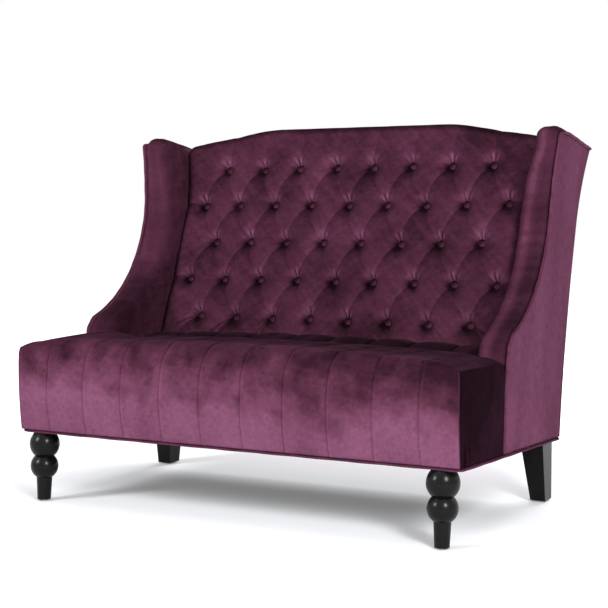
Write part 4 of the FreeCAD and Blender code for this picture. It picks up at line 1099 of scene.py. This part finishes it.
def velvet(name, blotch, stretch=EVEN):
    """Short velvet: the tone kept in the mesh with its painted light and shade, crushed patches,
    fine pile, faint sheen.
    """
    material, tree, skin = shader(name)
    painted_shade_and_lie = tree.nodes.new("ShaderNodeAttribute")
    painted_shade_and_lie.attribute_name = "pile_and_painted_shade"
    clouds = noise(tree, blotch, 6.0, 0.62, stretch)
    pile = noise(tree, 110.0, 3.0, 0.6)
    tone = painted_shade_and_lie.outputs["Fac"]
    for source, strength in ((clouds, 0.42), (pile, 0.20)):
        centred = computed(tree, "MULTIPLY_ADD", source, strength, -strength / 2)
        tone = computed(tree, "ADD", tone, centred)
    colored(tree, skin, tone, VELVET_TONES)
    bumped(tree, skin, noise(tree, 900.0, 3.0, 0.7), 0.22, 0.0007)
    preset(skin, {"Roughness": 0.85, "Specular IOR Level": 0.0, "Sheen Weight": 0.04,
                  "Sheen Roughness": 0.5, "Sheen Tint": (0.75, 0.34, 0.55, 1)})
    return material


def stuffing(name, dark, mid, bright):
    """Foam or batting: pale, matt, with small open cells."""
    material, tree, skin = shader(name)
    cells = noise(tree, 240.0, 4.0, 0.6)
    colored(tree, skin, cells, [(0.3, dark), (0.5, mid), (0.7, bright)])
    bumped(tree, skin, cells, 0.4, 0.001)
    preset(skin, {"Roughness": 0.95})
    return material


def wood(name, dark, light, roughness):
    """Wood with a grain along its height."""
    material, tree, skin = shader(name)
    grain = noise(tree, 4.0, 6.0, 0.6, (14, 14, 90))
    colored(tree, skin, grain, [(0.35, dark), (0.65, light)])
    bumped(tree, skin, grain, 0.12, 0.0005)
    preset(skin, {"Roughness": roughness, "Specular IOR Level": 0.17})
    return material


def woven(name, dark, light, scale):
    """Coarse cloth, webbing or twine."""
    material, tree, skin = shader(name)
    weave = tree.nodes.new("ShaderNodeTexWave")
    preset(weave, {"Scale": scale, "Distortion": 1.5})
    tree.links.new(stretched(tree, EVEN), weave.inputs["Vector"])
    colored(tree, skin, weave.outputs["Fac"], [(0.2, dark), (0.8, light)])
    bumped(tree, skin, weave.outputs["Fac"], 0.3, 0.0006)
    preset(skin, {"Roughness": 0.9})
    return material


def metal(name, color, roughness):
    """Bare metal with faint darker marks."""
    material, tree, skin = shader(name)
    marks = noise(tree, 160.0, 4.0, 0.5)
    colored(tree, skin, marks, [(0.3, tuple(share * 0.8 for share in color)), (0.7, color)])
    preset(skin, {"Metallic": 1.0, "Roughness": roughness})
    return material


RECIPES = [
    ("back_velvet", velvet, 6.0, (1, 1, 0.8)),
    ("seat_velvet", velvet, 7.0, (1, 1, 0.6)),
    ("wing_velvet", velvet, 7.0),
    ("panel_velvet", velvet, 5.0, (1, 1.2, 0.5)),
    ("piping_velvet", velvet, 30.0),
    ("button_velvet", velvet, 40.0),
    ("ebonised_wood", wood, (0.0028, 0.0026, 0.0026), (0.006, 0.0055, 0.0053), 0.24),
    ("beech", wood, (0.40, 0.26, 0.14), (0.62, 0.45, 0.28), 0.7),
    ("plywood", wood, (0.48, 0.34, 0.2), (0.68, 0.52, 0.34), 0.75),
    ("spring_steel", metal, (0.5, 0.5, 0.51), 0.35),
    ("glide_nickel", metal, (0.75, 0.74, 0.72), 0.25),
    ("lining_cloth", woven, (0.52, 0.47, 0.38), (0.72, 0.67, 0.56), 300),
    ("webbing", woven, (0.36, 0.27, 0.16), (0.60, 0.48, 0.32), 160),
    ("dust_cloth", woven, (0.008, 0.008, 0.01), (0.03, 0.03, 0.034), 300),
    ("tie_twine", woven, (0.55, 0.5, 0.38), (0.8, 0.75, 0.6), 400),
    ("foam", stuffing, (0.66, 0.62, 0.48), (0.78, 0.74, 0.6), (0.85, 0.82, 0.7)),
    ("batting", stuffing, (0.75, 0.74, 0.7), (0.85, 0.84, 0.8), (0.92, 0.91, 0.88)),
]
MATERIALS = {name: make(name, *values) for name, make, *values in RECIPES}

for entry in frame["record"]["subparts"]:
    cad_node = frame["nodes"][entry["node"]]
    cad_node.data.materials.clear()
    cad_node.data.materials.append(MATERIALS[entry["material_slot"]])


# Assembly


def dress(piece, slot_name, stands_for=()):
    """Give a new piece its material and its body, and hide the solids that it stands for."""
    piece.data.materials.append(MATERIALS[slot_name])
    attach(piece, "root")
    if stands_for:
        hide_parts(*stands_for)


dress(tufted_back(), "back_velvet", ("back_cover", "back_foam", "back_top_padding"))
dress(back_buttons(), "button_velvet", ("back_buttons",))
dress(seat_cover(), "seat_velvet", ("seat_cover", "seat_foam", "front_padding"))
dress(seat_buttons(), "button_velvet", ("seat_buttons",))
for wing_side, word in SIDE_WORDS.items():
    dress(wing_pad(wing_side), "wing_velvet", (f"wing_pad_{word}",))
    dress(wing_panel(wing_side), "panel_velvet",
          (f"wing_outer_panel_{word}", f"wing_batting_{word}"))
    dress(wing_piping(wing_side), "piping_velvet", (f"wing_welt_{word}",))
    dress(corner_seam(wing_side), "piping_velvet")
dress(outside_back(), "panel_velvet", ("outside_back_panel",))
dress(bottom_piping(), "piping_velvet", ("bottom_welt",))


# Camera, lamps, floor and world, in metres

FOCAL_PIXELS, PHOTO_PIXELS = 1392, 608
SENSOR = 36
CAMERA_PLACE = (1.769, FRONT_Y / 1000 - 2.850, 0.750)
CAMERA_DOWN, CAMERA_TURN = 3.64, 28.45

# (name, place, target, size, watts)
LAMPS = [
    ("right_softbox", (3.0, -2.7, 2.3), (0.1, -0.1, 0.45), (0.9, 1.3), 150),
    ("left_softbox", (-2.3, -3.3, 2.3), (0, -0.1, 0.45), (0.9, 1.3), 110),
    ("overhead", (0.1, -0.3, 3.6), (0, 0, 0.3), (3.0, 2.0), 40),
    ("rear", (0.2, 3.0, 2.6), (0, 0.3, 0.2), (3.4, 1.4), 110),
]
FLOOR_HALF = 14
ROOM_LIGHT = 0.22


def put(name, data, place, turn):
    """Camera or lamp in the scene."""
    piece = bpy.data.objects.new(name, data)
    piece.location = place
    piece.rotation_euler = turn
    bpy.context.collection.objects.link(piece)
    return piece


def place_camera():
    """Camera that takes the photo's view, level from side to side."""
    camera = bpy.data.cameras.new("camera")
    camera.lens = FOCAL_PIXELS * SENSOR / PHOTO_PIXELS
    camera.sensor_width = SENSOR
    camera.clip_end = 100
    turn = (math.radians(90 - CAMERA_DOWN), 0, math.radians(CAMERA_TURN))
    bpy.context.scene.camera = put("camera", camera, CAMERA_PLACE, turn)


def area_light(name, place, target, size, watts):
    """Softbox that faces a target."""
    lamp = bpy.data.lights.new(name, "AREA")
    lamp.shape = "RECTANGLE"
    lamp.size, lamp.size_y = size
    lamp.energy = watts
    turn = (Vector(target) - Vector(place)).to_track_quat("-Z", "Y").to_euler()
    put(name, lamp, place, turn)


def studio_floor():
    """Pale floor that keeps the shadow and turns into the white background with distance."""
    corners = np.array([(-1, -1, 0), (1, -1, 0), (1, 1, 0), (-1, 1, 0)]) * FLOOR_HALF
    floor = make_object("floor", corners, np.array([(0, 1, 2, 3)]))
    material, tree, skin = shader("studio_floor")
    preset(skin, {"Base Color": (0.90, 0.915, 0.945, 1), "Roughness": 0.9,
                  "Specular IOR Level": 0.05, "Emission Color": (1, 1, 1, 1)})
    away = tree.nodes.new("ShaderNodeVectorMath")
    away.operation = "LENGTH"
    tree.links.new(tree.nodes.new("ShaderNodeTexCoord").outputs["Object"], away.inputs[0])
    glow = mapped(tree, away.outputs["Value"], 0.17, 1.0, 1.0, 3.2)
    seen = tree.nodes.new("ShaderNodeLightPath").outputs["Is Camera Ray"]
    tree.links.new(computed(tree, "MULTIPLY", seen, glow), skin.inputs["Emission Strength"])
    floor.data.materials.append(material)
    return floor


def studio_world():
    """White where it is seen, directly or in a gloss, and dim where it only lights."""
    world = bpy.data.worlds.new("studio")
    bpy.context.scene.world = world
    world.use_nodes = True
    tree = world.node_tree
    backdrop = tree.nodes["Background"]
    preset(backdrop, {"Color": (1, 1, 1, 1)})
    rays = tree.nodes.new("ShaderNodeLightPath").outputs
    seen = computed(tree, "MAXIMUM", rays["Is Camera Ray"], rays["Is Glossy Ray"])
    seen = computed(tree, "MAXIMUM", seen, rays["Is Transmission Ray"])
    tree.links.new(mapped(tree, seen, ROOM_LIGHT, 1.0), backdrop.inputs["Strength"])


place_camera()
for lamp_values in LAMPS:
    area_light(*lamp_values)
floor = studio_floor()
studio_world()
bpy.context.scene.view_settings.view_transform = "Standard"
